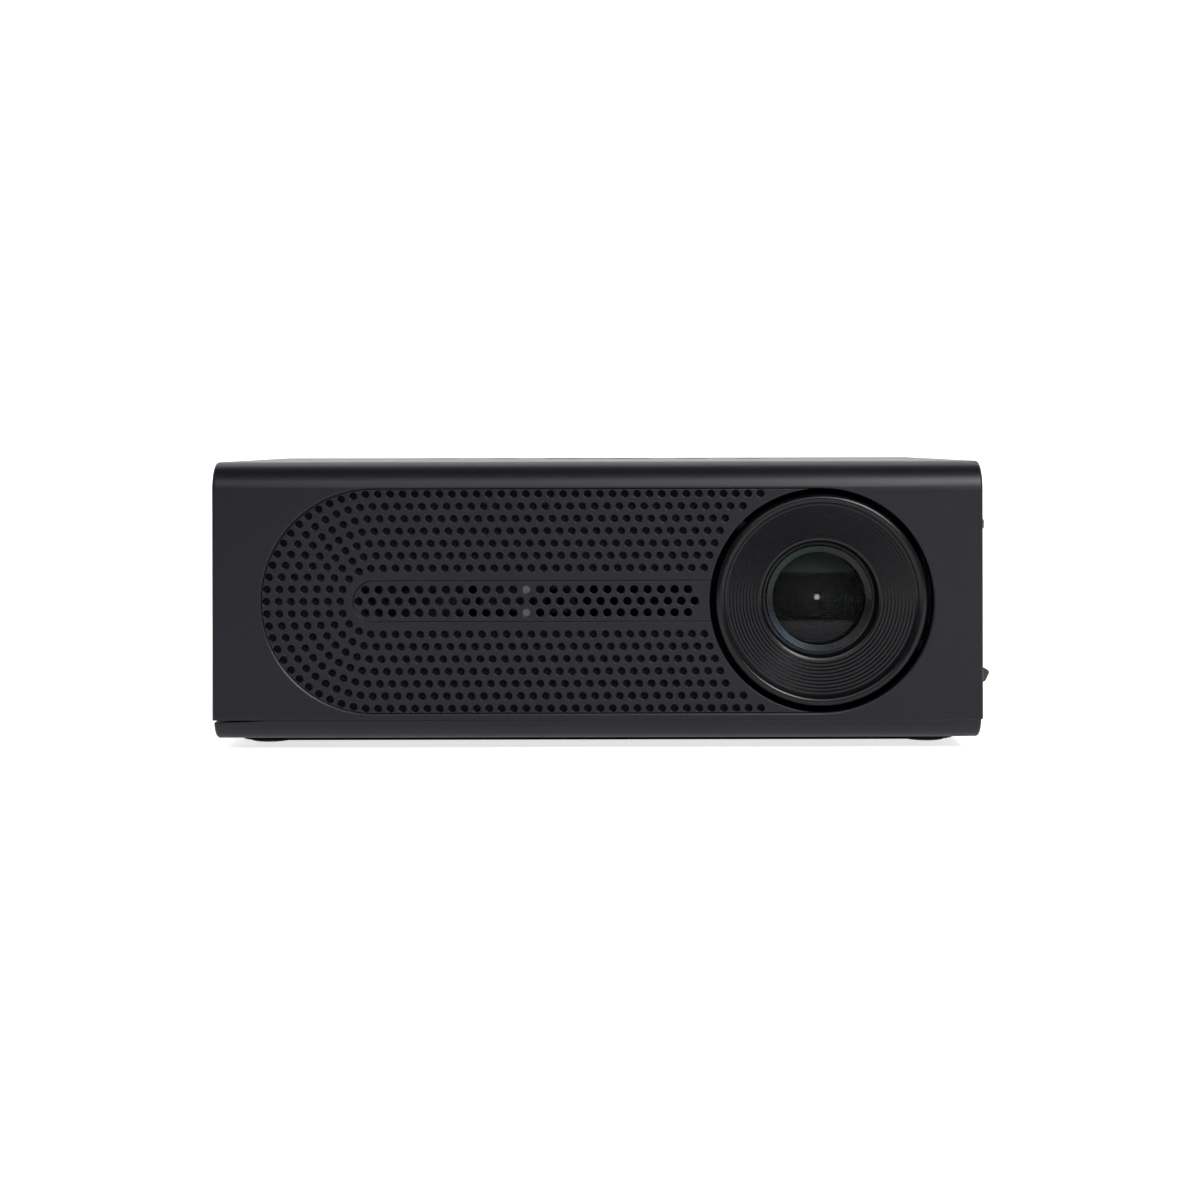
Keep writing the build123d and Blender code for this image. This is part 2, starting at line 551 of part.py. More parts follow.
def lens_bezel():
    """Front ring with a rounded lip and a stepped funnel down to the glass."""
    first_radius, first_depth = BEZEL_FIRST_STEP
    last_radius, last_depth = BEZEL_LAST_STEP
    step_radius = (last_radius - first_radius) / BEZEL_STEPS
    step_depth = (first_depth - last_depth) / BEZEL_STEPS
    inner = [(BEZEL_THROAT_RADIUS, 4.6), (BEZEL_THROAT_RADIUS, first_depth + 0.2)]
    for i in range(BEZEL_STEPS):
        radius = first_radius + step_radius * i
        depth = first_depth - step_depth * i
        inner += [(radius, depth), (radius + 0.62 * step_radius, depth + 0.05)]
    lip_foot = (23.9, 0.5)
    lip_edge = (BEZEL_RADIUS, 0.9)
    outline = Polyline(*inner, lip_foot)
    outline += ThreePointArc(lip_foot, (25.2, -0.2), lip_edge)
    outline += Polyline(
        lip_edge,
        (BEZEL_RADIUS, 6.5),
        (24.9, 6.5),
        (24.9, 3.0),
        (23.0, 3.6),
        (21.2, 4.6),
        (21.2, RING_FRONT - 0.2),
        (TUBE_OUTER_RADIUS + 0.03, RING_FRONT - 0.2),
        (TUBE_OUTER_RADIUS + 0.03, 4.6),
        inner[0],
    )
    return turned_face(make_face(outline))


def lens_tube():
    """Fixed tube on the optical engine, with three straight slots for the cam pins."""
    flange_front = ENGINE_FRONT_DEPTH - FLANGE_THICKNESS
    shoulder = TUBE_OUTER_RADIUS + 1.2
    bore = BARREL_RADIUS + RUNNING_GAP
    body = turned(
        (bore, TUBE_FRONT),
        (TUBE_OUTER_RADIUS, TUBE_FRONT),
        (TUBE_OUTER_RADIUS, RING_BACK + 0.15),
        (shoulder, RING_BACK + 0.15),
        (shoulder, flange_front),
        (FLANGE_RADIUS, flange_front),
        (FLANGE_RADIUS, ENGINE_FRONT_DEPTH),
        (bore, ENGINE_FRONT_DEPTH),
    )
    slot = SlotOverall(BARREL_TRAVEL + 2 * CAM_SLOT_HALF, 2 * CAM_SLOT_HALF, rotation=90)
    cutter = extrude(Plane.YZ * Rot(0, 0, 90) * slot, amount=8)
    for angle in PIN_ANGLES:
        body -= about_lens(angle, Pos(BARREL_RADIUS - 2, PIN_DEPTH + BARREL_TRAVEL / 2, 0) * cutter)
    for angle in FLANGE_SCREW_ANGLES:
        hole = Rot(90, 0, 0) * Cylinder(BOARD_SCREW_RADIUS + 0.2, 10)
        body -= about_lens(angle, Pos(FLANGE_SCREW_CIRCLE, ENGINE_FRONT_DEPTH, 0) * hole)
    return body


def cam_slot():
    """Cutters for one helical slot, from the +X side at rest depth back and round to -FOCUS_ANGLE."""
    middle = (TUBE_OUTER_RADIUS + RING_OUTER_RADIUS) / 2
    sweep_length = middle * radians(FOCUS_ANGLE)
    lead = degrees(atan(BARREL_TRAVEL / sweep_length))
    segment_length = hypot(sweep_length, BARREL_TRAVEL) / CAM_SLOT_SEGMENTS * 1.1
    segment = Rot(lead, 0, 0) * Box(8, 2 * CAM_SLOT_HALF, segment_length)
    end = Rot(0, 90, 0) * Cylinder(CAM_SLOT_HALF, 8)
    pieces = [(0.0, end), (1.0, end)]
    pieces += [((i + 0.5) / CAM_SLOT_SEGMENTS, segment) for i in range(CAM_SLOT_SEGMENTS)]
    return [Rot(0, FOCUS_ANGLE * share, 0) * Pos(middle, PIN_DEPTH + BARREL_TRAVEL * share, 0) * piece
            for share, piece in pieces]


def focus_ring():
    """Cam ring round the lens tube with the focus lever that reaches out through the side wall."""
    ring = tube(TUBE_OUTER_RADIUS + RUNNING_GAP, RING_OUTER_RADIUS, RING_FRONT, RING_BACK)
    for angle in PIN_ANGLES:
        ring -= [about_lens(angle, cutter) for cutter in cam_slot()]
    arm_end = LEVER_REACH - 1.2
    arm = Pos((RING_OUTER_RADIUS - 1 + arm_end) / 2, LEVER_DEPTH, 0)
    arm = arm * Box(arm_end - RING_OUTER_RADIUS + 1, 3, 2 * LEVER_HALF_WIDTH)
    root = Pos(RING_OUTER_RADIUS + 0.8, LEVER_DEPTH + 1, 0) * Box(3.6, 6, 7)
    return ring + about_lens(LEVER_REST_ANGLE, arm + root)


def focus_lever_cap():
    """Soft cap on the lever's tip, outside the housing."""
    length = LEVER_REACH - LEVER_CAP_START
    cap = Box(length, 4.6, 2 * LEVER_HALF_WIDTH + 1)
    cap = fillet(cap.faces().sort_by(Axis.X)[-1].edges() + cap.edges().filter_by(Axis.X), 0.8)
    hollow = Pos(-1.2, 0, 0) * Box(length, 3, 2 * LEVER_HALF_WIDTH)
    return about_lens(LEVER_REST_ANGLE, Pos(LEVER_CAP_START + length / 2, LEVER_DEPTH, 0) * (cap - hollow))


def focus_slot_trim():
    """Thin raised frame round the lever's slot, with a raised stop at its upper end."""
    outer_x = SIDE_X + SLOT_TRIM_HEIGHT
    frame = side_slot(SIDE_X, outer_x, SLOT_WIDTH + 4, SLOT_LOW_Z - 2, SLOT_HIGH_Z + 4.6)
    frame -= side_slot(SIDE_X - 1, SIDE_X + 2, SLOT_WIDTH, SLOT_LOW_Z, SLOT_HIGH_Z)
    stop_x = (SIDE_X, SIDE_X + SLOT_STOP_HEIGHT)
    stop = block(stop_x, (SLOT_Y - 2.2, SLOT_Y + 2.2), (SLOT_HIGH_Z + 0.4, SLOT_HIGH_Z + 3.1))
    stop = fillet(stop.edges().filter_by(Axis.Z, reverse=True).sort_by(Axis.X)[-4:], 0.6)
    return frame + stop


def lens_barrel():
    """Sliding barrel that holds the three glass elements."""
    return turned(
        (GLASS_RADIUS + 0.1, BARREL_FRONT),
        (BARREL_RADIUS - 0.4, BARREL_FRONT),
        (BARREL_RADIUS, BARREL_FRONT + 0.4),
        (BARREL_RADIUS, BARREL_BACK),
        (REAR_GLASS_RADIUS + 0.1, BARREL_BACK),
        (REAR_GLASS_RADIUS + 0.1, 20.0),
        (MIDDLE_GLASS_RADIUS + 0.1, 20.0),
        (MIDDLE_GLASS_RADIUS + 0.1, 12.6),
        (11.5, 12.6),
        (11.5, 10.15),
        (GLASS_RADIUS + 0.1, 10.15),
    )


def cam_pins():
    pin = Rot(0, 90, 0) * Cylinder(CAM_PIN_RADIUS, RING_OUTER_RADIUS - BARREL_RADIUS - 0.6)
    middle = (RING_OUTER_RADIUS + BARREL_RADIUS - 0.6) / 2
    return [about_lens(angle, Pos(middle, PIN_DEPTH, 0) * pin) for angle in PIN_ANGLES]


def front_retainer():
    """Bevelled ring that clamps the front element, with a groove between it and the barrel."""
    foot_radius = GLASS_RADIUS + 0.05
    return turned(
        (RETAINER_RADIUS, 5.6),
        (RETAINER_RADIUS + 0.25, 6.7),
        (foot_radius, 6.7),
        (foot_radius, 7.3),
        (11.7, 7.3),
        (11.6, 6.6),
    )


def element(radius, edge, bulge, depth):
    return Pos(LENS_X, FRONT_Y + depth, AXIS_Z) * biconvex(radius, edge, bulge)


def front_element():
    return element(GLASS_RADIUS, 2.0, 1.2, 8.7)


def middle_element():
    return element(MIDDLE_GLASS_RADIUS, 2.4, 1.6, 14.2)


def rear_element():
    return element(REAR_GLASS_RADIUS, 3.0, 2.0, 21.8)


# ---------------------------------------------------------------- optical engine

def engine_outline():
    """Plan of the optical engine: a straight light tunnel with a diagonal wall behind the mirror."""
    return make_face(Polyline(
        (ENGINE_LEFT_X, ENGINE_FRONT_Y),
        (ENGINE_RIGHT_X, ENGINE_FRONT_Y),
        (ENGINE_RIGHT_X, ENGINE_DIAGONAL_SUM - ENGINE_RIGHT_X),
        (ENGINE_DIAGONAL_SUM - ENGINE_BACK_Y, ENGINE_BACK_Y),
        (ENGINE_LEFT_X, ENGINE_BACK_Y),
        close=True,
    ))


def engine_housing():
    """Open tub that holds the optical parts, closed by its lid."""
    outline = engine_outline()
    height = ENGINE_TOP_Z - ENGINE_BOTTOM_Z
    tub = Pos(0, 0, ENGINE_BOTTOM_Z) * extrude(outline, amount=height)
    cavity = offset(outline, -ENGINE_WALL, kind=Kind.INTERSECTION)
    tub -= Pos(0, 0, ENGINE_FLOOR_Z) * extrude(cavity, amount=height)
    light_hole = lens_circle(BARREL_RADIUS - 1)
    tub -= front_plate(light_hole, ENGINE_FRONT_DEPTH - 1, ENGINE_FRONT_DEPTH + ENGINE_WALL + 1)
    aperture = ((ENGINE_LEFT_X - 1, ENGINE_LEFT_X + ENGINE_WALL + 1), (ENGINE_Y - 11, ENGINE_Y + 11))
    tub -= block(*aperture, (AXIS_Z - 11, AXIS_Z + 11))
    for _, x, thickness in OPTICAL_PLATES:
        tub += plate_ribs(x, thickness)
    tub += plate_ribs(CONDENSER_X - CONDENSER_FLANGE / 2, CONDENSER_FLANGE)
    for x, y in ENGINE_LEGS:
        tub += upright(x, y, ENGINE_LEG_BOTTOM_Z, ENGINE_BOTTOM_Z + 0.5, ENGINE_LEG_RADIUS)
        tub -= upright(x, y, ENGINE_LEG_BOTTOM_Z - 1, ENGINE_FLOOR_Z + 1, BOARD_SCREW_RADIUS + 0.2)
    for angle in FLANGE_SCREW_ANGLES:
        boss = Rot(90, 0, 0) * Cylinder(2.6, 5)
        hole = Rot(90, 0, 0) * Cylinder(BOARD_SCREW_RADIUS + 0.02, 12)
        tub += about_lens(angle, Pos(FLANGE_SCREW_CIRCLE, ENGINE_FRONT_DEPTH + 2.5, 0) * boss)
        tub -= about_lens(angle, Pos(FLANGE_SCREW_CIRCLE, ENGINE_FRONT_DEPTH, 0) * hole)
    for x, y in LID_SCREWS:
        tub += upright(x, y, ENGINE_TOP_Z - 12, ENGINE_TOP_Z, 2.6)
        tub -= upright(x, y, ENGINE_TOP_Z - 11, ENGINE_TOP_Z + 1, BOARD_SCREW_RADIUS + 0.02)
    return tub


def plate_ribs(x, thickness):
    """Two pairs of upright ribs that hold one flat part by its edges."""
    ribs = []
    inner = ENGINE_BACK_Y - ENGINE_Y - ENGINE_WALL
    for side in (-1, 1):
        y_range = sorted((ENGINE_Y + side * (inner + 0.5), ENGINE_Y + side * (inner - RIB_REACH)))
        for low in (x - 0.1 - RIB_THICKNESS, x + thickness + 0.1):
            ribs.append(block((low, low + RIB_THICKNESS), y_range, (ENGINE_BOTTOM_Z + 1, ENGINE_TOP_Z - 0.2)))
    return ribs


def engine_lid():
    outline = engine_outline()
    lid = Pos(0, 0, ENGINE_TOP_Z) * extrude(outline, amount=ENGINE_WALL)
    for x, y in LID_SCREWS:
        lid -= upright(x, y, ENGINE_TOP_Z - 1, ENGINE_TOP_Z + 4, BOARD_SCREW_RADIUS + 0.2)
    return lid


def optical_plate(x, thickness):
    """A flat part that stands on the engine's floor between its ribs."""
    y_range = (ENGINE_Y - PLATE_HALF_WIDTH, ENGINE_Y + PLATE_HALF_WIDTH)
    return block((x, x + thickness), y_range, (ENGINE_FLOOR_Z, ENGINE_FLOOR_Z + PLATE_HEIGHT))


def condenser_lens():
    """Plano-convex lens that gathers the lamp's light, on a square flange."""
    dome = Pos(CONDENSER_X, ENGINE_Y, AXIS_Z) * Rot(0, 0, -90) * biconvex(17.5, 0.5, 6.0)
    dome &= block((CONDENSER_X - 1, CONDENSER_X + 12), (-20, 40), (0, TOP_Z))
    return optical_plate(CONDENSER_X - CONDENSER_FLANGE / 2, CONDENSER_FLANGE) + dome


def fold_mirror():
    """Front-surface mirror that turns the light from +X to the lens."""
    plate = Pos(MIRROR_THICKNESS / 2, 0, 0) * Box(MIRROR_THICKNESS, 2 * MIRROR_HALF_LENGTH, PLATE_HEIGHT)
    return Pos(LENS_X, ENGINE_Y, ENGINE_FLOOR_Z + PLATE_HEIGHT / 2) * Rot(0, 0, 45) * plate


def led_board():
    """Metal-core board with the lamp's mounting pads."""
    y_range = (ENGINE_Y - 15, ENGINE_Y + 15)
    return block((HEAT_SINK_BACK_X, ENGINE_LEFT_X), y_range, (AXIS_Z - 15, AXIS_Z + 15))


def led_emitter():
    y_range = (ENGINE_Y - 8, ENGINE_Y + 8)
    return block((ENGINE_LEFT_X, ENGINE_LEFT_X + 1.2), y_range, (AXIS_Z - 8, AXIS_Z + 8))


def heat_sink():
    """Aluminium base with fins that run towards the exhaust fan."""
    z_range = (AXIS_Z - HEAT_SINK_HALF, AXIS_Z + HEAT_SINK_HALF)
    y_range = (ENGINE_Y - HEAT_SINK_HALF, ENGINE_Y + HEAT_SINK_HALF)
    sink = block((HEAT_SINK_BACK_X - 5, HEAT_SINK_BACK_X), y_range, z_range)
    pitch = (2 * HEAT_SINK_HALF - FIN_THICKNESS) / (FIN_COUNT - 1)
    for i in range(FIN_COUNT):
        y = y_range[0] + pitch * i
        sink += block((HEAT_SINK_END_X, HEAT_SINK_BACK_X - 4), (y, y + FIN_THICKNESS), z_range)
    return sink


# ---------------------------------------------------------------- fans

def fan_frame(size, thickness):
    """Square fan frame round Z with a motor seat on struts and a fixed shaft; air leaves along +Z."""
    bore = 0.47 * size
    hub = FAN_HUB_SHARE * size
    frame = Box(size, size, thickness) - Cylinder(bore, thickness + 1)
    seat_z = thickness / 2 - 0.75
    frame += Pos(0, 0, seat_z) * Cylinder(hub, 1.5)
    strut = Pos((hub + bore) / 2, 0, seat_z) * Box(bore - hub + 2, 1.6, 1.5)
    frame += [Rot(0, 0, 45 + 90 * i) * strut for i in range(4)]
    frame += Pos(0, 0, 0.5) * Cylinder(FAN_SHAFT_RADIUS, thickness - 3)
    corner = 0.42 * size
    corners = [(x, y) for x in (-corner, corner) for y in (-corner, corner)]
    return frame - [Pos(x, y, 0) * Cylinder(1.8, thickness + 1) for x, y in corners]


def fan_rotor(size, thickness):
    """Hub with pitched blades, running on the frame's shaft."""
    bore = 0.47 * size
    hub = FAN_HUB_SHARE * size
    height = thickness - 3.4
    blade_low = hub - 0.6
    blade_high = bore - 0.7
    blade = Box(blade_high - blade_low, 1.0, (height - 1.2) / cos(radians(BLADE_PITCH_ANGLE)) * 0.92)
    blade = Pos((blade_low + blade_high) / 2, 0, 0) * Rot(BLADE_PITCH_ANGLE, 0, 0) * blade
    rotor = Cylinder(hub, height)
    rotor += [Rot(0, 0, 360 / BLADE_COUNT * i) * blade for i in range(BLADE_COUNT)]
    rotor &= Cylinder(blade_high, height)
    rotor = Pos(0, 0, -0.9) * rotor
    return rotor - Cylinder(FAN_SHAFT_RADIUS + 0.05, thickness)


def exhaust(shape):
    """Places a fan part at the left wall, blowing out to -X."""
    return Pos(EXHAUST_FAN_X, ENGINE_Y, AXIS_Z) * Rot(0, -90, 0) * shape


def intake(shape):
    """Places a fan part at the right wall, blowing in to -X."""
    return Pos(INTAKE_FAN_X, INTAKE_FAN_Y, AXIS_Z) * Rot(0, -90, 0) * shape


def fan_duct():
    """Square sleeve from the heat sink to the exhaust fan."""
    low_x = EXHAUST_FAN_X + EXHAUST_FAN_THICKNESS / 2
    high_x = HEAT_SINK_END_X + 0.5
    outer_size = EXHAUST_FAN_SIZE - 2
    inner_size = outer_size - 2.4
    sleeve = Box(high_x - low_x, outer_size, outer_size) - Box(high_x - low_x + 2, inner_size, inner_size)
    return Pos((low_x + high_x) / 2, ENGINE_Y, AXIS_Z) * sleeve


# ---------------------------------------------------------------- speaker

def speaker_turned(*points):
    """A turned part of the speaker from a closed outline of (radius, depth) points."""
    ring = revolve(make_face(Polyline(*points, close=True)), Axis.Y)
    return Pos(SPEAKER_X, FRONT_Y, AXIS_Z) * ring


def speaker_basket():
    return speaker_turned(
        (SPEAKER_RADIUS, SPEAKER_FRONT),
        (SPEAKER_RADIUS, SPEAKER_FRONT + 2),
        (11.5, 15.0),
        (11.5, 16.0),
        (7.0, 16.0),
        (7.0, 14.8),
        (10.5, 14.8),
        (18.6, SPEAKER_FRONT + 1.6),
        (18.0, SPEAKER_FRONT),
    )


def speaker_cone():
    return speaker_turned(
        (0, 9.0),
        (3.0, 9.6),
        (5.0, 11.6),
        (17.0, SPEAKER_FRONT + 2.2),
        (17.9, SPEAKER_FRONT + 1.2),
        (17.9, SPEAKER_FRONT + 1.6),
        (17.2, SPEAKER_FRONT + 2.6),
        (5.0, 12.2),
        (0, 12.2),
    )


def speaker_magnet():
    return speaker_turned((0, 16.0), (11.0, 16.0), (11.0, 23.0), (0, 23.0))


# ---------------------------------------------------------------- boards and sockets

def board(x_range, y_range, low_z, holes):
    """A bare circuit board with its screw holes."""
    plate = block(x_range, y_range, (low_z, low_z + BOARD_THICKNESS))
    plate -= [upright(x, y, low_z - 1, low_z + 3, BOARD_SCREW_RADIUS + 0.2) for x, y in holes]
    return plate


def main_board():
    """Main board with its processor, memory and capacitors."""
    plate = board(MAIN_BOARD_X, MAIN_BOARD_Y, BOARD_Z, MAIN_BOARD_POSTS)
    chip_z = (BOARD_TOP_Z, BOARD_TOP_Z + 1.4)
    plate += [block(x_range, y_range, chip_z) for x_range, y_range in MAIN_BOARD_CHIPS]
    plate += [upright(x, y, BOARD_TOP_Z, BOARD_TOP_Z + 7, 2.5) for x, y in MAIN_BOARD_CAPACITORS]
    return plate


def power_board():
    """Lamp driver with its coil and capacitor."""
    plate = board(POWER_BOARD_X, POWER_BOARD_Y, BOARD_Z, POWER_BOARD_POSTS)
    plate += block((-72, -66), (46, 56), (BOARD_TOP_Z, BOARD_TOP_Z + 8))
    plate += upright(-55.5, 46, BOARD_TOP_Z, BOARD_TOP_Z + 5, 4.5)
    return plate


def inner_screws():
    """Long screws for the engine, short ones for the boards, the engine's lid and the lens flange."""
    long_screw = Rot(180, 0, 0) * screw(BOARD_SCREW_RADIUS - 0.03, 12)
    short_screw = screw(BOARD_SCREW_RADIUS - 0.03, 6)
    downward = Rot(180, 0, 0) * short_screw
    screws = [Pos(x, y, ENGINE_FLOOR_Z) * long_screw for x, y in ENGINE_LEGS]
    screws += [Pos(x, y, BOARD_TOP_Z) * downward for x, y in MAIN_BOARD_POSTS + POWER_BOARD_POSTS]
    screws += [Pos(x, y, ENGINE_TOP_Z + ENGINE_WALL) * downward for x, y in LID_SCREWS]
    screws += [Pos(x, y, KEY_BOARD_Z) * short_screw for x, y in KEY_BOARD_POSTS]
    flange_front = ENGINE_FRONT_DEPTH - FLANGE_THICKNESS
    in_flange = Pos(FLANGE_SCREW_CIRCLE, flange_front, 0) * Rot(-90, 0, 0) * short_screw
    return screws + [about_lens(angle, in_flange) for angle in FLANGE_SCREW_ANGLES]


def socket_shell(place, depth):
    """Sheet-metal socket lying on the main board with its mouth to the rear."""
    x, width, height = place
    rim = 0.6
    z_range = (BOARD_TOP_Z, BOARD_TOP_Z + height)
    outer = block((x - width / 2, x + width / 2), (SOCKET_MOUTH_Y - depth, SOCKET_MOUTH_Y), z_range)
    inner_z = (z_range[0] + rim, z_range[1] - rim)
    inner_y = (SOCKET_MOUTH_Y - depth + 1.5, SOCKET_MOUTH_Y + 1)
    return outer - block((x - width / 2 + rim, x + width / 2 - rim), inner_y, inner_z)


def tongue(x, width, thickness, centre_z, depth):
    """The contact tongue inside a socket."""
    z_range = (centre_z - thickness / 2, centre_z + thickness / 2)
    return block((x - width / 2, x + width / 2), (SOCKET_MOUTH_Y - depth, SOCKET_MOUTH_Y - 1), z_range)


def video_socket():
    return socket_shell(VIDEO_SOCKET, 11.0) + tongue(VIDEO_SOCKET[0], 10.5, 1.4, BOARD_TOP_Z + 3.2, 10.0)


def usb_socket():
    return socket_shell(USB_SOCKET, 13.0) + tongue(USB_SOCKET[0], 11.0, 1.8, BOARD_TOP_Z + 4.6, 12.0)


def round_socket(place, bore, depth):
    """Square moulded socket with a round mouth to the rear."""
    x, width, height = place
    y_range = (SOCKET_MOUTH_Y - depth, SOCKET_MOUTH_Y)
    body = block((x - width / 2, x + width / 2), y_range, (BOARD_TOP_Z, BOARD_TOP_Z + height))
    mouth = Pos(x, SOCKET_MOUTH_Y - depth / 2 + 1, BOARD_TOP_Z + height / 2)
    return body - mouth * Rot(90, 0, 0) * Cylinder(bore, depth)


def audio_socket():
    return round_socket(AUDIO_SOCKET, 1.8, 12.0)


def power_inlet():
    """Low-voltage inlet with its centre pin."""
    x, _, height = POWER_INLET
    pin = Pos(x, SOCKET_MOUTH_Y - 7.0, BOARD_TOP_Z + height / 2) * Rot(90, 0, 0) * Cylinder(1.0, 11.5)
    return round_socket(POWER_INLET, 3.2, 13.0) + pin


def port_panel():
    """Rear panel plate with one window for each socket."""
    x_range = (PORT_PANEL_X[0] + 0.1, PORT_PANEL_X[1] - 0.1)
    z_range = (PORT_PANEL_Z[0] + 0.1, PORT_PANEL_Z[1] - 0.1)
    plate = block(x_range, (BACK_Y - WALL, BACK_Y - PORT_PANEL_SINK), z_range)
    lip_x = (PORT_PANEL_X[0] - PORT_PANEL_LIP, PORT_PANEL_X[1] + PORT_PANEL_LIP)
    lip_z = (BOARD_TOP_Z + 0.2, PORT_PANEL_Z[1] + PORT_PANEL_LIP)
    plate += block(lip_x, (BACK_Y - WALL - 1.3, BACK_Y - WALL), lip_z)
    y_range = (BACK_Y - WALL - 2, BACK_Y + 1)
    for x, width, height in (VIDEO_SOCKET, USB_SOCKET, AUDIO_SOCKET, POWER_INLET):
        half = width / 2 + 0.25
        plate -= block((x - half, x + half), y_range, (BOARD_TOP_Z - 0.25, BOARD_TOP_Z + height + 0.25))
    return plate


# ---------------------------------------------------------------- keys

def key_places():
    """Where each key's stem and switch stand on the top."""
    places = {name: (x, KEY_Y) for name, x in ROUND_KEYS.items()}
    places["ok_key"] = (0, KEY_Y)
    for name, angle in ARROW_KEYS.items():
        turn = radians(angle)
        places[name] = (ARROW_STEM_RADIUS * cos(turn), KEY_Y + ARROW_STEM_RADIUS * sin(turn))
    return places


def arrow_outline(angle, outer_radius):
    """One quarter of the arrow ring, with its corner gaps."""
    reach = 2 * outer_radius
    quarter = make_face(Polyline((0.8, 0), (reach, reach - 0.8), (reach, 0.8 - reach), close=True))
    return Pos(0, KEY_Y) * Rot(0, 0, angle) * (quarter & (Circle(outer_radius) - Circle(ARROW_HOLE_RADIUS)))


def key(cap_outline, flange_outline, flange_top, stem_place):
    """One key: a cap, the flange that keeps it in and the stem that works its switch."""
    flange_bottom = flange_top - KEY_FLANGE_THICKNESS
    cap = Pos(0, 0, flange_bottom) * extrude(cap_outline, amount=TOP_Z - KEY_SINK - flange_bottom)
    cap = chamfer(cap.faces().sort_by(Axis.Z)[-1].edges(), 0.25)
    flange = Pos(0, 0, flange_bottom) * extrude(flange_outline, amount=KEY_FLANGE_THICKNESS)
    x, y = stem_place
    return cap + flange + upright(x, y, KEY_STEM_BOTTOM_Z, TOP_Z - 1, KEY_STEM_RADIUS)


def keys():
    """Every key of the top by name."""
    places = key_places()
    made = {}
    for name in ROUND_KEYS:
        cap, flange = (Pos(*places[name]) * Circle(radius)
                       for radius in (ROUND_KEY_RADIUS, ROUND_KEY_RADIUS + KEY_FLANGE_REACH))
        made[name] = key(cap, flange, KEY_FLANGE_TOP_Z, places[name])
    for name, angle in ARROW_KEYS.items():
        cap, flange = (arrow_outline(angle, radius)
                       for radius in (ARROW_RING_RADIUS, ARROW_RING_RADIUS + KEY_FLANGE_REACH))
        made[name] = key(cap, flange, KEY_FLANGE_TOP_Z, places[name])
    cap, flange = (Pos(0, KEY_Y) * Circle(radius) for radius in (OK_KEY_RADIUS, ARROW_HOLE_RADIUS + 0.8))
    made["ok_key"] = key(cap, flange, OK_FLANGE_TOP_Z, places["ok_key"])
    return made


def key_board():
    half_width = KEY_BOARD_POST_X + 4
    return board((-half_width, half_width), (KEY_Y - 16, KEY_Y + 16), KEY_BOARD_Z, KEY_BOARD_POSTS)


def key_switches():
    """One small press switch under each key."""
    body = Pos(0, 0, KEY_BOARD_TOP_Z + 0.85) * Box(5.2, 5.2, 1.7)
    switch = body + upright(0, 0, KEY_BOARD_TOP_Z + 1.5, SWITCH_TOP_Z, 1.2)
    return [Pos(x, y, 0) * switch for x, y in key_places().values()]


# ---------------------------------------------------------------- assembly

def all_parts():
    """Every node by name. A list of shapes is a group of separate pieces of one kind."""
    parts = {
        "upper_housing": upper_housing(),
        "bottom_cover": bottom_cover(),
        "tripod_insert": tripod_insert(),
        "rubber_feet": rubber_feet(),
        "case_screws": case_screws(),
        "front_grille": front_grille(),
        "dust_mesh": dust_mesh(),
        "grille_centre_strip": centre_strip(),
        "light_pipes": light_pipes(),
        "indicator_board": indicator_board(),
        "remote_receiver": remote_receiver(),
        "lens_bezel": lens_bezel(),
        "lens_tube": lens_tube(),
        "focus_ring": focus_ring(),
        "focus_lever_cap": focus_lever_cap(),
        "focus_slot_trim": focus_slot_trim(),
        "lens_barrel": lens_barrel(),
        "cam_pins": cam_pins(),
        "front_retainer": front_retainer(),
        "front_element": front_element(),
        "middle_element": middle_element(),
        "rear_element": rear_element(),
        "engine_housing": engine_housing(),
        "engine_lid": engine_lid(),
        "inner_screws": inner_screws(),
        "condenser_lens": condenser_lens(),
        "fold_mirror": fold_mirror(),
        "led_board": led_board(),
        "led_emitter": led_emitter(),
        "heat_sink": heat_sink(),
        "fan_duct": fan_duct(),
        "exhaust_fan_frame": exhaust(fan_frame(EXHAUST_FAN_SIZE, EXHAUST_FAN_THICKNESS)),
        "exhaust_fan_rotor": exhaust(fan_rotor(EXHAUST_FAN_SIZE, EXHAUST_FAN_THICKNESS)),
        "intake_fan_frame": intake(fan_frame(INTAKE_FAN_SIZE, INTAKE_FAN_THICKNESS)),
        "intake_fan_rotor": intake(fan_rotor(INTAKE_FAN_SIZE, INTAKE_FAN_THICKNESS)),
        "speaker_basket": speaker_basket(),
        "speaker_cone": speaker_cone(),
        "speaker_magnet": speaker_magnet(),
        "main_board": main_board(),
        "power_board": power_board(),
        "video_socket": video_socket(),
        "usb_socket": usb_socket(),
        "audio_socket": audio_socket(),
        "power_inlet": power_inlet(),
        "port_panel": port_panel(),
        "key_board": key_board(),
        "key_switches": key_switches(),
    }
    for name, x, thickness in OPTICAL_PLATES:
        parts[name] = optical_plate(x, thickness)
    return parts | keys()


def write_parts():
    os.makedirs("parts", exist_ok=True)
    for name, shape in all_parts().items():
        if isinstance(shape, list):
            shape = Compound(children=shape)
        export_step(shape, f"parts/{name}.step")


write_parts()
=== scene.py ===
import json
from math import cos, pi, radians, sin

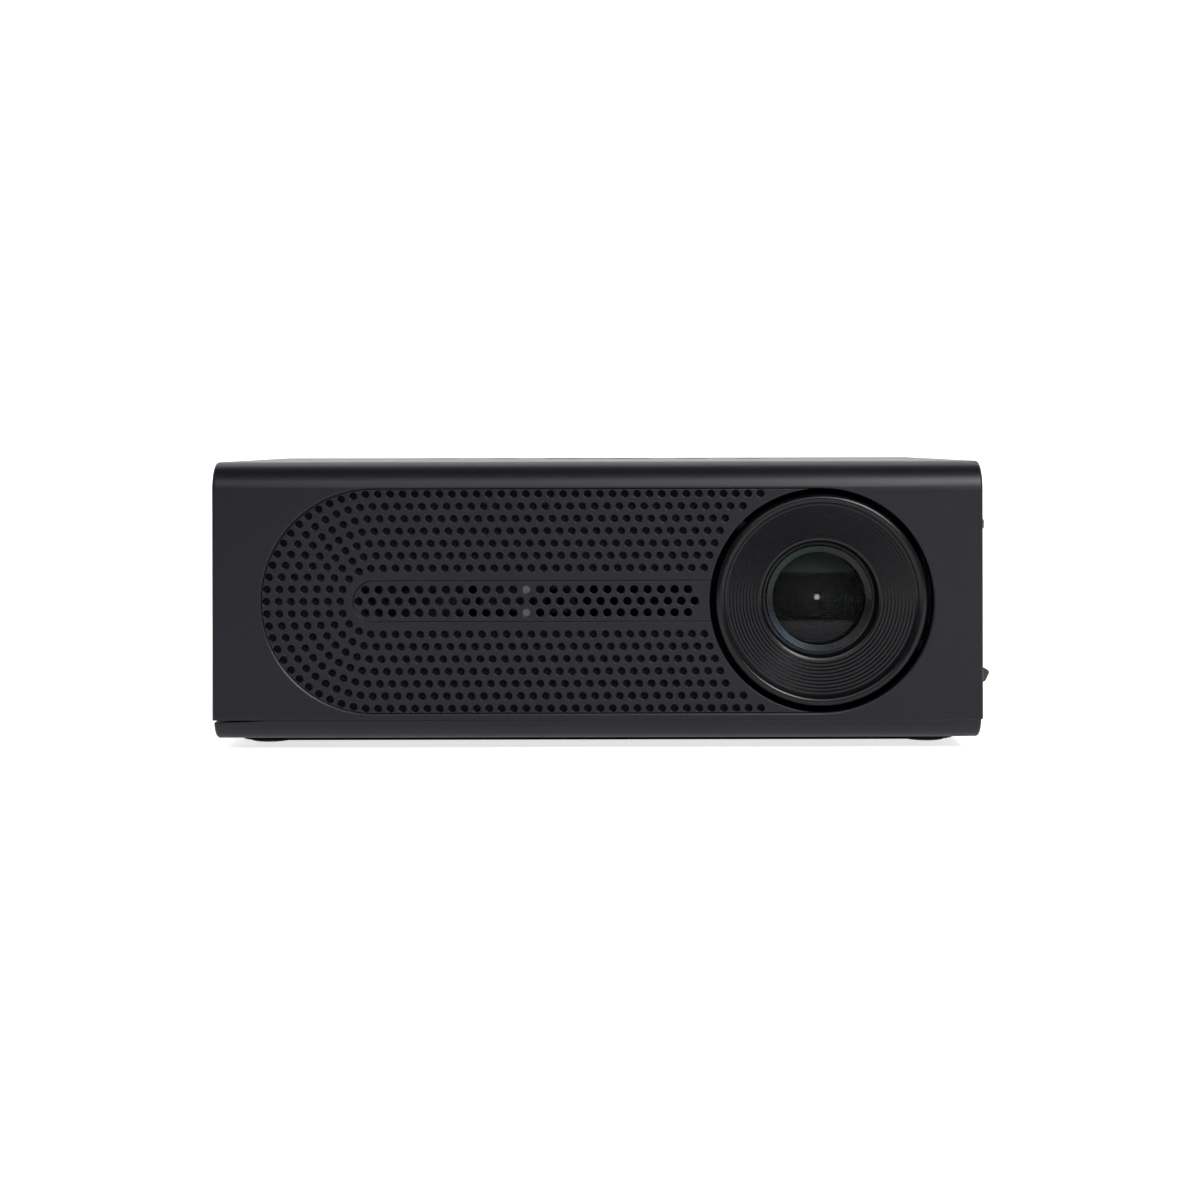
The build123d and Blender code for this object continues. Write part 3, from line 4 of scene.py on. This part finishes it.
import bpy
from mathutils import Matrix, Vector


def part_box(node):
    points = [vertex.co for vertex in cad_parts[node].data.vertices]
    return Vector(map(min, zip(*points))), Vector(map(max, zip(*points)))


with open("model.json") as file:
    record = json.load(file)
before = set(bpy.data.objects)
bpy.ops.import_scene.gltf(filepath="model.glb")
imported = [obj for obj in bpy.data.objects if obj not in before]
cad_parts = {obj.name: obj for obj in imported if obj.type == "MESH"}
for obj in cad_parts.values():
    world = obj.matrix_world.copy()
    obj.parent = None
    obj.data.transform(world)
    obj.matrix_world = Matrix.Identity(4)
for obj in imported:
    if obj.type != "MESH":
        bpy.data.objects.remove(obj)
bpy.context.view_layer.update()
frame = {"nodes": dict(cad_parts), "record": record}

MM = 0.001
BLACK = (0, 0, 0)

# Plastic that has been used, and painted shade: each state's brightness as a share of its own colour or
# shine; the crevice shade is painted shade that darkens colour and shine in hollows, gaps and near the
# table.
CLOUD_DARKEST = 0.92
CLOUD_LIGHTEST = 1.08
WORN_EDGE = 1.8
CREVICE_SHADE = 0.5
CREVICE_SHADE_SHINE = 0.2

# A painted view of what the front glass shows, with painted reflection rings and a painted spark of light,
# measured from the lens's axis.
LENS_AXIS = (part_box("front_element")[0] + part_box("front_element")[1]) / 2
PANEL_HALF_HEIGHT_MM = 6.1
PANEL_EDGE_BLUR_MM = 0.8
TUNNEL_BLUR_MM = 1.0
PAINTED_RING_SPACING_MM = 1.3
PAINTED_RINGS_FADE_MM = (3.5, 5.5)
PAINTED_SPARK_FADE_MM = (0.2, 0.9)

# The ring's painted reflection colours by angle in degrees: 0 at the right, 90 at the top.
PAINTED_REFLECTION_AT_LEFT = (0.002, 0.003, 0.003)
PAINTED_REFLECTION_TINTS = (
    (-135, (0.020, 0.026, 0.034)),
    (-80, (0.012, 0.013, 0.015)),
    (-40, (0.011, 0.011, 0.012)),
    (0, (0.001, 0.001, 0.001)),
    (45, (0.008, 0.005, 0.006)),
    (90, (0.002, 0.006, 0.006)),
    (135, (0.004, 0.010, 0.009)),
)


# ---------------------------------------------------------------- node helpers

def new_material(name):
    """An empty node material: itself, its nodes, its links and its principled shader."""
    material = bpy.data.materials.new(name)
    material.use_nodes = True
    tree = material.node_tree
    return material, tree.nodes, tree.links, tree.nodes["Principled BSDF"]


def texture_space(nodes, links, stretch=(1.0, 1.0, 1.0)):
    """Object coordinates in metres, optionally stretched."""
    coordinates = nodes.new("ShaderNodeTexCoord")
    mapping = nodes.new("ShaderNodeMapping")
    mapping.inputs["Scale"].default_value = stretch
    links.new(coordinates.outputs["Object"], mapping.inputs["Vector"])
    return mapping.outputs["Vector"]


def noise(nodes, links, space, feature_mm, detail=2.0, roughness=0.5):
    """Noise whose features are about feature_mm across."""
    texture = nodes.new("ShaderNodeTexNoise")
    texture.inputs["Scale"].default_value = 1.0 / (feature_mm * MM)
    texture.inputs["Detail"].default_value = detail
    texture.inputs["Roughness"].default_value = roughness
    links.new(space, texture.inputs["Vector"])
    return texture.outputs["Fac"]


def spread(nodes, links, source, low, high, start=0.3, end=0.7):
    """Maps start..end of a value onto low..high; noise stays mostly within 0.3..0.7."""
    ramp = nodes.new("ShaderNodeMapRange")
    ramp.inputs["From Min"].default_value = start
    ramp.inputs["From Max"].default_value = end
    ramp.inputs["To Min"].default_value = low
    ramp.inputs["To Max"].default_value = high
    links.new(source, ramp.inputs["Value"])
    return ramp.outputs["Result"]


def tint(nodes, links, source, dark, light):
    """A mix of two colours by a 0..1 value; each is either plain numbers or another node's colour."""
    mix = nodes.new("ShaderNodeMix")
    mix.data_type = "RGBA"
    for end, colour in (("A", dark), ("B", light)):
        if isinstance(colour, bpy.types.NodeSocket):
            links.new(colour, mix.inputs[end])
        else:
            mix.inputs[end].default_value = (*colour, 1)
    links.new(source, mix.inputs["Factor"])
    return mix.outputs["Result"]


def scaled(values, factor):
    """A colour made brighter or darker, or a pair of sizes in another unit."""
    return [factor * value for value in values]


def bump(nodes, links, height, depth_mm, under=None):
    """A normal tilted by a 0..1 height worth depth_mm, on top of another normal where there is one."""
    node = nodes.new("ShaderNodeBump")
    node.inputs["Strength"].default_value = 1.0
    node.inputs["Distance"].default_value = depth_mm * MM
    links.new(height, node.inputs["Height"])
    if under is not None:
        links.new(under, node.inputs["Normal"])
    return node.outputs["Normal"]


def rounded_edges(nodes, radius_mm):
    """A normal that rounds sharp edges over, as moulding and handling do."""
    bevel = nodes.new("ShaderNodeBevel")
    bevel.samples = 8
    bevel.inputs["Radius"].default_value = radius_mm * MM
    return bevel.outputs["Normal"]


def edge_wear(nodes, links, rounded):
    """1 on sharp edges, 0 on flat faces, from how far the rounded normal leans from the true one."""
    geometry = nodes.new("ShaderNodeNewGeometry")
    lean = vector_step(nodes, links, "DOT_PRODUCT", rounded, geometry.outputs["Normal"], "Value")
    return spread(nodes, links, lean, 1.0, 0.0, 0.6, 0.98)


def crevice_shade(nodes, reach_mm):
    """Painted shade mask: near 0 deep in holes, gaps and close to the table, 1 on open faces."""
    occlusion = nodes.new("ShaderNodeAmbientOcclusion")
    occlusion.samples = 6
    occlusion.inputs["Distance"].default_value = reach_mm * MM
    return occlusion.outputs["AO"]


def arithmetic(nodes, links, operation, first, second=0.0):
    """One step of arithmetic on one or two values; the second may be a plain number."""
    node = nodes.new("ShaderNodeMath")
    node.operation = operation
    links.new(first, node.inputs[0])
    if isinstance(second, float):
        node.inputs[1].default_value = second
    else:
        links.new(second, node.inputs[1])
    return node.outputs["Value"]


def vector_step(nodes, links, operation, first, second=(0, 0, 0), result="Vector"):
    """One step of arithmetic on one or two vectors; the second may be three plain numbers."""
    node = nodes.new("ShaderNodeVectorMath")
    node.operation = operation
    links.new(first, node.inputs[0])
    if isinstance(second, tuple):
        node.inputs[1].default_value = second
    else:
        links.new(second, node.inputs[1])
    return node.outputs[result]


# ---------------------------------------------------------------- materials

def moulded_plastic(name, colour, roughness, grain_mm, grain_depth_mm,
                    edge_mm=0.25, specular=0.3, crevice_mm=1.5):
    """Moulded plastic: fine spark-eroded grain, faint cloudy tone and roughness, polished edges,
    and painted shade that dulls and darkens it deep in holes, gaps and close to the table."""
    material, nodes, links, shader = new_material(name)
    space = texture_space(nodes, links)
    cloud = noise(nodes, links, space, 35.0, detail=3.0)
    rounded = rounded_edges(nodes, edge_mm)
    clouded = tint(nodes, links, spread(nodes, links, cloud, 0.0, 1.0),
                   scaled(colour, CLOUD_DARKEST), scaled(colour, CLOUD_LIGHTEST))
    worn = tint(nodes, links, edge_wear(nodes, links, rounded), clouded, scaled(colour, WORN_EDGE))
    # Painted shade: colour and shine are darkened where ambient occlusion finds holes, gaps and the table
    # nearby.
    painted_shade_factor = crevice_shade(nodes, crevice_mm)
    with_painted_shade = tint(nodes, links, painted_shade_factor, scaled(colour, CREVICE_SHADE), worn)
    links.new(with_painted_shade, shader.inputs["Base Color"])
    shine = spread(nodes, links, painted_shade_factor, CREVICE_SHADE_SHINE * specular, specular, 0.45, 0.95)
    links.new(shine, shader.inputs["Specular IOR Level"])
    patches = noise(nodes, links, space, 6.0, detail=4.0)
    patchy = spread(nodes, links, patches, roughness - 0.015, roughness + 0.015)
    links.new(patchy, shader.inputs["Roughness"])
    grain = noise(nodes, links, space, grain_mm, detail=3.0, roughness=0.65)
    links.new(bump(nodes, links, grain, grain_depth_mm, under=rounded), shader.inputs["Normal"])
    return material


def rubber(name):
    """Black rubber with a fine grain and some dust."""
    material, nodes, links, shader = new_material(name)
    space = texture_space(nodes, links)
    dust = spread(nodes, links, noise(nodes, links, space, 2.5, detail=5.0), 0.0, 1.0, 0.45, 0.75)
    colour = tint(nodes, links, dust, (0.008, 0.008, 0.008), (0.03, 0.03, 0.03))
    links.new(colour, shader.inputs["Base Color"])
    shader.inputs["Roughness"].default_value = 0.85
    grain = noise(nodes, links, space, 0.25)
    links.new(bump(nodes, links, grain, 0.03), shader.inputs["Normal"])
    return material


def metal(name, dark, light, roughness, brush=(1.0, 1.0, 1.0)):
    """Metal with brushed or cast texture, stretched along the brushing."""
    material, nodes, links, shader = new_material(name)
    space = texture_space(nodes, links, brush)
    marks = noise(nodes, links, space, 0.6, detail=4.0)
    colour = tint(nodes, links, spread(nodes, links, marks, 0.0, 1.0), dark, light)
    links.new(colour, shader.inputs["Base Color"])
    links.new(spread(nodes, links, marks, roughness - 0.08, roughness + 0.08), shader.inputs["Roughness"])
    shader.inputs["Metallic"].default_value = 1.0
    links.new(bump(nodes, links, marks, 0.01), shader.inputs["Normal"])
    return material


def glass(name, colour):
    """Clear glass with faint dust on it."""
    material, nodes, links, shader = new_material(name)
    space = texture_space(nodes, links)
    dust = noise(nodes, links, space, 0.8, detail=6.0)
    links.new(spread(nodes, links, dust, 0.02, 0.08, 0.55, 0.8), shader.inputs["Roughness"])
    links.new(tint(nodes, links, dust, colour, scaled(colour, 0.9)), shader.inputs["Base Color"])
    shader.inputs["Transmission Weight"].default_value = 1.0
    shader.inputs["IOR"].default_value = 1.5
    return material


def coated_glass(name):
    """The front element: a thin dark tint over what lies behind, with a weak reflection."""
    material, nodes, links, shader = new_material(name)
    space = texture_space(nodes, links)
    haze = spread(nodes, links, noise(nodes, links, space, 9.0), 0.0, 1.0)
    colour = tint(nodes, links, haze, (0.004, 0.009, 0.008), (0.008, 0.006, 0.010))
    links.new(colour, shader.inputs["Base Color"])
    links.new(spread(nodes, links, haze, 0.02, 0.03), shader.inputs["Roughness"])
    shader.inputs["Alpha"].default_value = 0.045
    shader.inputs["Specular IOR Level"].default_value = 0.4
    return material


def painted_lens_view(name):
    """A painted view of the lens's inside as the front glass shows it: the dark wide panel across the
    middle, a paler tunnel above and below it, fine painted reflection rings and the lamp's spark painted on
    the axis as a glint."""
    material, nodes, links, shader = new_material(name)
    place = nodes.new("ShaderNodeMapping")
    coordinates = nodes.new("ShaderNodeTexCoord")
    links.new(coordinates.outputs["Object"], place.inputs["Vector"])
    place.inputs["Location"].default_value = (-LENS_AXIS.x, 0, -LENS_AXIS.z)
    flat = vector_step(nodes, links, "MULTIPLY", place.outputs["Vector"], (1, 0, 1))
    radius = vector_step(nodes, links, "LENGTH", flat, result="Value")
    parts = nodes.new("ShaderNodeSeparateXYZ")
    links.new(flat, parts.inputs["Vector"])
    height = parts.outputs["Z"]

    blur = TUNNEL_BLUR_MM / 2 * MM
    above = spread(nodes, links, height, 0.0, 1.0, -blur, blur)
    tunnel = tint(nodes, links, above, (0.0120, 0.0120, 0.0130), (0.0100, 0.0130, 0.0122))
    panel_starts = (PANEL_HALF_HEIGHT_MM - PANEL_EDGE_BLUR_MM / 2) * MM
    panel_ends = (PANEL_HALF_HEIGHT_MM + PANEL_EDGE_BLUR_MM / 2) * MM
    off_axis = arithmetic(nodes, links, "ABSOLUTE", height)
    off_panel = spread(nodes, links, off_axis, 0.0, 1.0, panel_starts, panel_ends)
    shaded = tint(nodes, links, off_panel, (0.0016, 0.0019, 0.0013), tunnel)

    # Painted reflections: faint rings that fade out away from the axis.
    phase = arithmetic(nodes, links, "MULTIPLY", radius, 2 * pi / (PAINTED_RING_SPACING_MM * MM))
    rings = arithmetic(nodes, links, "SINE", phase)
    near = spread(nodes, links, radius, 1.0, 0.0, *scaled(PAINTED_RINGS_FADE_MM, MM))
    faded = arithmetic(nodes, links, "MULTIPLY", rings, near)
    painted_rings = tint(nodes, links, faded, BLACK, (0.004, 0.004, 0.004))
    # Painted highlight: the lamp's spark as a bright glint on the axis.
    on_axis = spread(nodes, links, radius, 1.0, 0.0, *scaled(PAINTED_SPARK_FADE_MM, MM))
    spark = tint(nodes, links, on_axis, BLACK, (0.22, 0.20, 0.19))
    with_painted_rings = vector_step(nodes, links, "ADD", shaded, painted_rings)
    links.new(vector_step(nodes, links, "ADD", with_painted_rings, spark), shader.inputs["Base Color"])
    shader.inputs["Roughness"].default_value = 0.5
    shader.inputs["Specular IOR Level"].default_value = 0.0
    return material


def woven_mesh(name):
    """Fine black dust mesh: crossed threads with a slight sheen."""
    material, nodes, links, shader = new_material(name)
    space = texture_space(nodes, links)
    threads = []
    for direction in ("X", "Z"):
        wave = nodes.new("ShaderNodeTexWave")
        wave.bands_direction = direction
        wave.inputs["Scale"].default_value = 1 / (6 * MM)
        wave.inputs["Distortion"].default_value = 1.0
        links.new(space, wave.inputs["Vector"])
        threads.append(wave.outputs["Fac"])
    weave = arithmetic(nodes, links, "MAXIMUM", threads[0], threads[1])
    colour = tint(nodes, links, weave, (0.0015, 0.0015, 0.0018), (0.005, 0.005, 0.0055))
    links.new(colour, shader.inputs["Base Color"])
    shader.inputs["Roughness"].default_value = 0.8
    shader.inputs["Specular IOR Level"].default_value = 0.1
    links.new(bump(nodes, links, weave, 0.05), shader.inputs["Normal"])
    return material


def circuit_board(name, mask, track):
    """Solder mask of one colour with the tracks under it showing as lighter lines."""
    material, nodes, links, shader = new_material(name)
    space = texture_space(nodes, links)
    tracks = nodes.new("ShaderNodeTexBrick")
    tracks.inputs["Scale"].default_value = 220.0
    tracks.inputs["Color1"].default_value = (*mask, 1)
    tracks.inputs["Color2"].default_value = (*scaled(mask, 1.2), 1)
    tracks.inputs["Mortar"].default_value = (*track, 1)
    tracks.inputs["Mortar Size"].default_value = 0.03
    links.new(space, tracks.inputs["Vector"])
    links.new(tracks.outputs["Color"], shader.inputs["Base Color"])
    links.new(spread(nodes, links, noise(nodes, links, space, 3.0), 0.25, 0.4), shader.inputs["Roughness"])
    links.new(bump(nodes, links, tracks.outputs["Fac"], 0.02), shader.inputs["Normal"])
    shader.inputs["Specular IOR Level"].default_value = 0.2
    return material


def milky_plastic(name):
    """Frosted light pipe: milky grey through and through, a little brighter in patches."""
    material, nodes, links, shader = new_material(name)
    space = texture_space(nodes, links)
    frost = spread(nodes, links, noise(nodes, links, space, 0.6), 0.0, 1.0)
    colour = tint(nodes, links, frost, (0.026, 0.026, 0.027), (0.034, 0.034, 0.036))
    links.new(colour, shader.inputs["Base Color"])
    links.new(spread(nodes, links, frost, 0.4, 0.5), shader.inputs["Roughness"])
    shader.inputs["Specular IOR Level"].default_value = 0.2
    return material


def ring_with_painted_reflections(name):
    """The lens's bevelled ring: dark gloss with a painted reflection in its colour that changes round it, as
    a coating's does:
    bluish and brightest at the lower left, greenish over the top, pinkish at the upper right, darkest at the
    right."""
    material, nodes, links, shader = new_material(name)
    space = texture_space(nodes, links)
    parts = nodes.new("ShaderNodeSeparateXYZ")
    links.new(space, parts.inputs["Vector"])
    across = arithmetic(nodes, links, "SUBTRACT", parts.outputs["X"], LENS_AXIS.x)
    up = arithmetic(nodes, links, "SUBTRACT", parts.outputs["Z"], LENS_AXIS.z)
    angle = arithmetic(nodes, links, "ARCTAN2", up, across)
    turn = spread(nodes, links, angle, 0.0, 1.0, -pi, pi)
    ramp = nodes.new("ShaderNodeValToRGB")
    stops = ramp.color_ramp.elements
    for end in (0, 1):
        stops[end].position = end
        stops[end].color = (*PAINTED_REFLECTION_AT_LEFT, 1)
    for degrees, colour in PAINTED_REFLECTION_TINTS:
        stop = stops.new((degrees + 180) / 360)
        stop.color = (*colour, 1)
    links.new(turn, ramp.inputs["Fac"])
    links.new(ramp.outputs["Color"], shader.inputs["Base Color"])
    smudge = noise(nodes, links, space, 2.0, detail=4.0)
    links.new(spread(nodes, links, smudge, 0.24, 0.30), shader.inputs["Roughness"])
    links.new(rounded_edges(nodes, 0.1), shader.inputs["Normal"])
    shader.inputs["Specular IOR Level"].default_value = 0.15
    return material


def phosphor(name):
    """The lamp's powdery yellow phosphor."""
    material, nodes, links, shader = new_material(name)
    space = texture_space(nodes, links)
    grain = noise(nodes, links, space, 0.4)
    links.new(tint(nodes, links, grain, (0.75, 0.5, 0.03), (0.95, 0.75, 0.1)), shader.inputs["Base Color"])
    shader.inputs["Roughness"].default_value = 0.6
    return material


def paper_cone(name):
    """Black pressed paper with its fibres showing."""
    material, nodes, links, shader = new_material(name)
    space = texture_space(nodes, links)
    fibres = noise(nodes, links, space, 0.5, detail=6.0, roughness=0.7)
    colour = tint(nodes, links, fibres, (0.012, 0.012, 0.012), (0.04, 0.04, 0.04))
    links.new(colour, shader.inputs["Base Color"])
    shader.inputs["Roughness"].default_value = 0.9
    links.new(bump(nodes, links, fibres, 0.05), shader.inputs["Normal"])
    return material


def plastic_slots():
    """The moulded slots' finishes by slot: colour, then roughness, grain and the rest by name."""
    return {
        # The housing's painted crevice shade reaches 6 mm, so it also darkens the lower edge near the table.
        "housing_plastic": dict(colour=(0.0014, 0.0014, 0.0036), roughness=0.39, grain_mm=0.25,
                                grain_depth_mm=0.013, edge_mm=0.35, specular=0.20, crevice_mm=6.0),
        "bezel_plastic": dict(colour=(0.0016, 0.0017, 0.0024), roughness=0.25, grain_mm=0.2,
                              grain_depth_mm=0.004, edge_mm=0.12, specular=0.16, crevice_mm=0.4),
        "key_plastic": dict(colour=(0.0085, 0.0085, 0.0100), roughness=0.38, grain_mm=0.2,
                            grain_depth_mm=0.008),
        "inner_plastic": dict(colour=(0.0060, 0.0060, 0.0065), roughness=0.55, grain_mm=0.4,
                              grain_depth_mm=0.010),
        "receiver_plastic": dict(colour=(0.003, 0.0015, 0.002), roughness=0.3, grain_mm=0.4,
                                 grain_depth_mm=0.001, specular=0.1),
        "socket_plastic": dict(colour=(0.008, 0.008, 0.008), roughness=0.5, grain_mm=0.3,
                               grain_depth_mm=0.008),
        "panel_glass": dict(colour=(0.006, 0.006, 0.007), roughness=0.12, grain_mm=0.5,
                            grain_depth_mm=0.0005),
    }


def metal_slots():
    """The metal slots' finishes by slot; brush is short along the axis that the marks run along."""
    return {
        "brass": dict(dark=(0.55, 0.36, 0.12), light=(0.72, 0.5, 0.2), roughness=0.3, brush=(1, 1, 0.15)),
        "screw_steel": dict(dark=(0.42, 0.42, 0.43), light=(0.58, 0.58, 0.6), roughness=0.32),
        "fin_aluminium": dict(dark=(0.018, 0.018, 0.02), light=(0.03, 0.03, 0.032), roughness=0.45,
                              brush=(0.08, 1, 1)),
        "magnet_steel": dict(dark=(0.2, 0.2, 0.21), light=(0.3, 0.3, 0.32), roughness=0.4),
        "socket_steel": dict(dark=(0.5, 0.5, 0.52), light=(0.68, 0.68, 0.7), roughness=0.28,
                             brush=(1, 0.1, 1)),
        "lamp_board": dict(dark=(0.7, 0.7, 0.7), light=(0.82, 0.82, 0.82), roughness=0.45),
        "mirror": dict(dark=(0.88, 0.88, 0.88), light=(0.92, 0.92, 0.92), roughness=0.09),
    }


def slot_materials():
    """One material per slot of the record."""
    finishes = {slot: moulded_plastic(slot, **look) for slot, look in plastic_slots().items()}
    finishes |= {slot: metal(slot, **look) for slot, look in metal_slots().items()}
    return finishes | {
        "retainer_gloss": ring_with_painted_reflections("retainer_gloss"),
        "mesh_plastic": woven_mesh("mesh_plastic"),
        "soft_rubber": rubber("soft_rubber"),
        "coated_glass": coated_glass("coated_glass"),
        "optical_glass": glass("optical_glass", (0.93, 0.96, 0.96)),
        "clear_plastic": milky_plastic("clear_plastic"),
        "lamp_phosphor": phosphor("lamp_phosphor"),
        "circuit_board": circuit_board("circuit_board", (0.010, 0.070, 0.030), (0.03, 0.16, 0.07)),
        "cone_paper": paper_cone("cone_paper"),
    }


def special_finishes():
    """Nodes that look different from the rest of their slot: the board seen through the strip is black,
    the sliding barrel is made near-black as painted shade, and the middle element carries the painted view
    of the lens."""
    return {
        "indicator_board": circuit_board("black_board", (0.0015, 0.0015, 0.0018), (0.003, 0.003, 0.003)),
        # Painted shade: the barrel is near-black so the gap round the lens's front ring reads as shadow.
        "lens_barrel": moulded_plastic("shade_black_plastic", (0.0015, 0.0015, 0.0015), roughness=0.8,
                                       grain_mm=0.3, grain_depth_mm=0.03, specular=0.05),
        "middle_element": painted_lens_view("painted_lens_view"),
    }


def dress_frame(finishes, special):
    """Gives every CAD node the material of its slot in the record, or its own where it has one."""
    for part in frame["record"]["subparts"]:
        finish = special.get(part["node"], finishes[part["material_slot"]])
        for place in frame["nodes"][part["node"]].material_slots:
            place.material = finish


# ---------------------------------------------------------------- stage, light and camera

FRONT_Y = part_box("upper_housing")[0].y
TOP_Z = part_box("upper_housing")[1].z

# The sheet, in metres: flat this far to the front, back and sides, then curved up.
FLOOR_FRONT = 0.75
FLOOR_BACK = 1.6
FLOOR_SIDE = 3.0
COVE_RADIUS = 0.6
COVE_STEPS = 16
BACKDROP_HEIGHT = 3.5
PAPER_GLOW = 0.75

# The softboxes, as distances in metres from the middle of the top front edge.
LIGHT_ELEVATION_DEGREES = 33
RIGHT_LIGHT_ASIDE = 0.48
RIGHT_LIGHT_FORWARD = 0.88
ROOM_GLOW = 0.08

# The camera, in metres from the front face and the top; the shifts are shares of the picture's width.
FRONT_TO_CAMERA = 0.5
CAMERA_ABOVE_TOP = 0.005
CAMERA_ROLL_DEGREES = 0.12
LENS_MM = 61.0
SENSOR_MM = 36.0
SHIFT_RIGHT = 0.0019
SHIFT_DOWN = 0.132


def cove(start):
    """Distances and heights along a sheet that lies flat up to start and then curves upright."""
    turns = [pi / 2 * i / COVE_STEPS for i in range(COVE_STEPS + 1)]
    bend = [(start + COVE_RADIUS * sin(turn), COVE_RADIUS - COVE_RADIUS * cos(turn)) for turn in turns]
    return bend + [(start + COVE_RADIUS, BACKDROP_HEIGHT)]


def studio_paper(name):
    """White paper that glows a little, so that the floor stays white around the object."""
    material, nodes, links, shader = new_material(name)
    space = texture_space(nodes, links)
    fibre = noise(nodes, links, space, 40.0)
    links.new(tint(nodes, links, fibre, (0.80, 0.80, 0.80), (0.82, 0.82, 0.82)), shader.inputs["Base Color"])
    shader.inputs["Roughness"].default_value = 0.9
    shader.inputs["Specular IOR Level"].default_value = 0.0
    shader.inputs["Emission Color"].default_value = (1, 1, 1, 1)
    shader.inputs["Emission Strength"].default_value = PAPER_GLOW
    return material


def studio_floor():
    """A pale sheet under the object that curves up behind it and at both sides; it ends in front of it,
    where the room is dark."""
    side = cove(FLOOR_SIDE)
    across = [(-x, z) for x, z in reversed(side)] + side
    along = [(-FLOOR_FRONT, 0.0)] + cove(FLOOR_BACK)
    verts = [(x, y, max(side_z, back_z)) for y, back_z in along for x, side_z in across]
    row = len(across)
    faces = [(i * row + j, i * row + j + 1, (i + 1) * row + j + 1, (i + 1) * row + j)
             for i in range(len(along) - 1) for j in range(row - 1)]
    mesh = bpy.data.meshes.new("studio_floor")
    mesh.from_pydata(verts, [], faces)
    for face in mesh.polygons:
        face.use_smooth = True
    mesh.materials.append(studio_paper("studio_paper"))
    floor = bpy.data.objects.new("studio_floor", mesh)
    bpy.context.scene.collection.objects.link(floor)


def softbox(name, place, target, width, height, watts):
    """A rectangular area light at place, facing target."""
    data = bpy.data.lights.new(name, "AREA")
    data.shape = "RECTANGLE"
    data.size = width
    data.size_y = height
    data.energy = watts
    light = bpy.data.objects.new(name, data)
    light.location = place
    light.rotation_euler = (Vector(target) - Vector(place)).to_track_quat("-Z", "Y").to_euler()
    bpy.context.scene.collection.objects.link(light)


def lights():
    """A wide softbox in front of the top edge, a smaller, stronger one to its right, a wash on the
    backdrop and a nearly dark room."""
    edge = Vector((0, FRONT_Y, TOP_Z))
    forward = cos(radians(LIGHT_ELEVATION_DEGREES))
    up = sin(radians(LIGHT_ELEVATION_DEGREES))
    right = edge + Vector((RIGHT_LIGHT_ASIDE, -RIGHT_LIGHT_FORWARD * forward, up))
    softbox("front_softbox", edge + Vector((0, -forward, up)), edge, width=0.9, height=0.40, watts=6.0)
    softbox("right_softbox", right, edge, width=0.34, height=0.36, watts=15.0)
    softbox("backdrop_wash", place=(0, 1.1, 1.7), target=(0, 0.9, 0), width=2.6, height=0.8, watts=16.0)
    world = bpy.data.worlds.new("studio_world")
    bpy.context.scene.world = world
    world.use_nodes = True
    world.node_tree.nodes["Background"].inputs["Color"].default_value = (1, 1, 1, 1)
    world.node_tree.nodes["Background"].inputs["Strength"].default_value = ROOM_GLOW
    bpy.context.scene.view_settings.view_transform = "Standard"


def camera():
    """Level camera just above the top, shifted down to frame the body without leaning its edges."""
    data = bpy.data.cameras.new("camera")
    data.sensor_width = SENSOR_MM
    data.lens = LENS_MM
    data.shift_x = SHIFT_RIGHT
    data.shift_y = -SHIFT_DOWN
    data.clip_start = 0.01
    seat = bpy.data.objects.new("camera", data)
    seat.location = (0, FRONT_Y - FRONT_TO_CAMERA, TOP_Z + CAMERA_ABOVE_TOP)
    seat.rotation_euler = (radians(90), radians(CAMERA_ROLL_DEGREES), 0)
    bpy.context.scene.collection.objects.link(seat)
    bpy.context.scene.camera = seat


dress_frame(slot_materials(), special_finishes())
studio_floor()
lights()
camera()
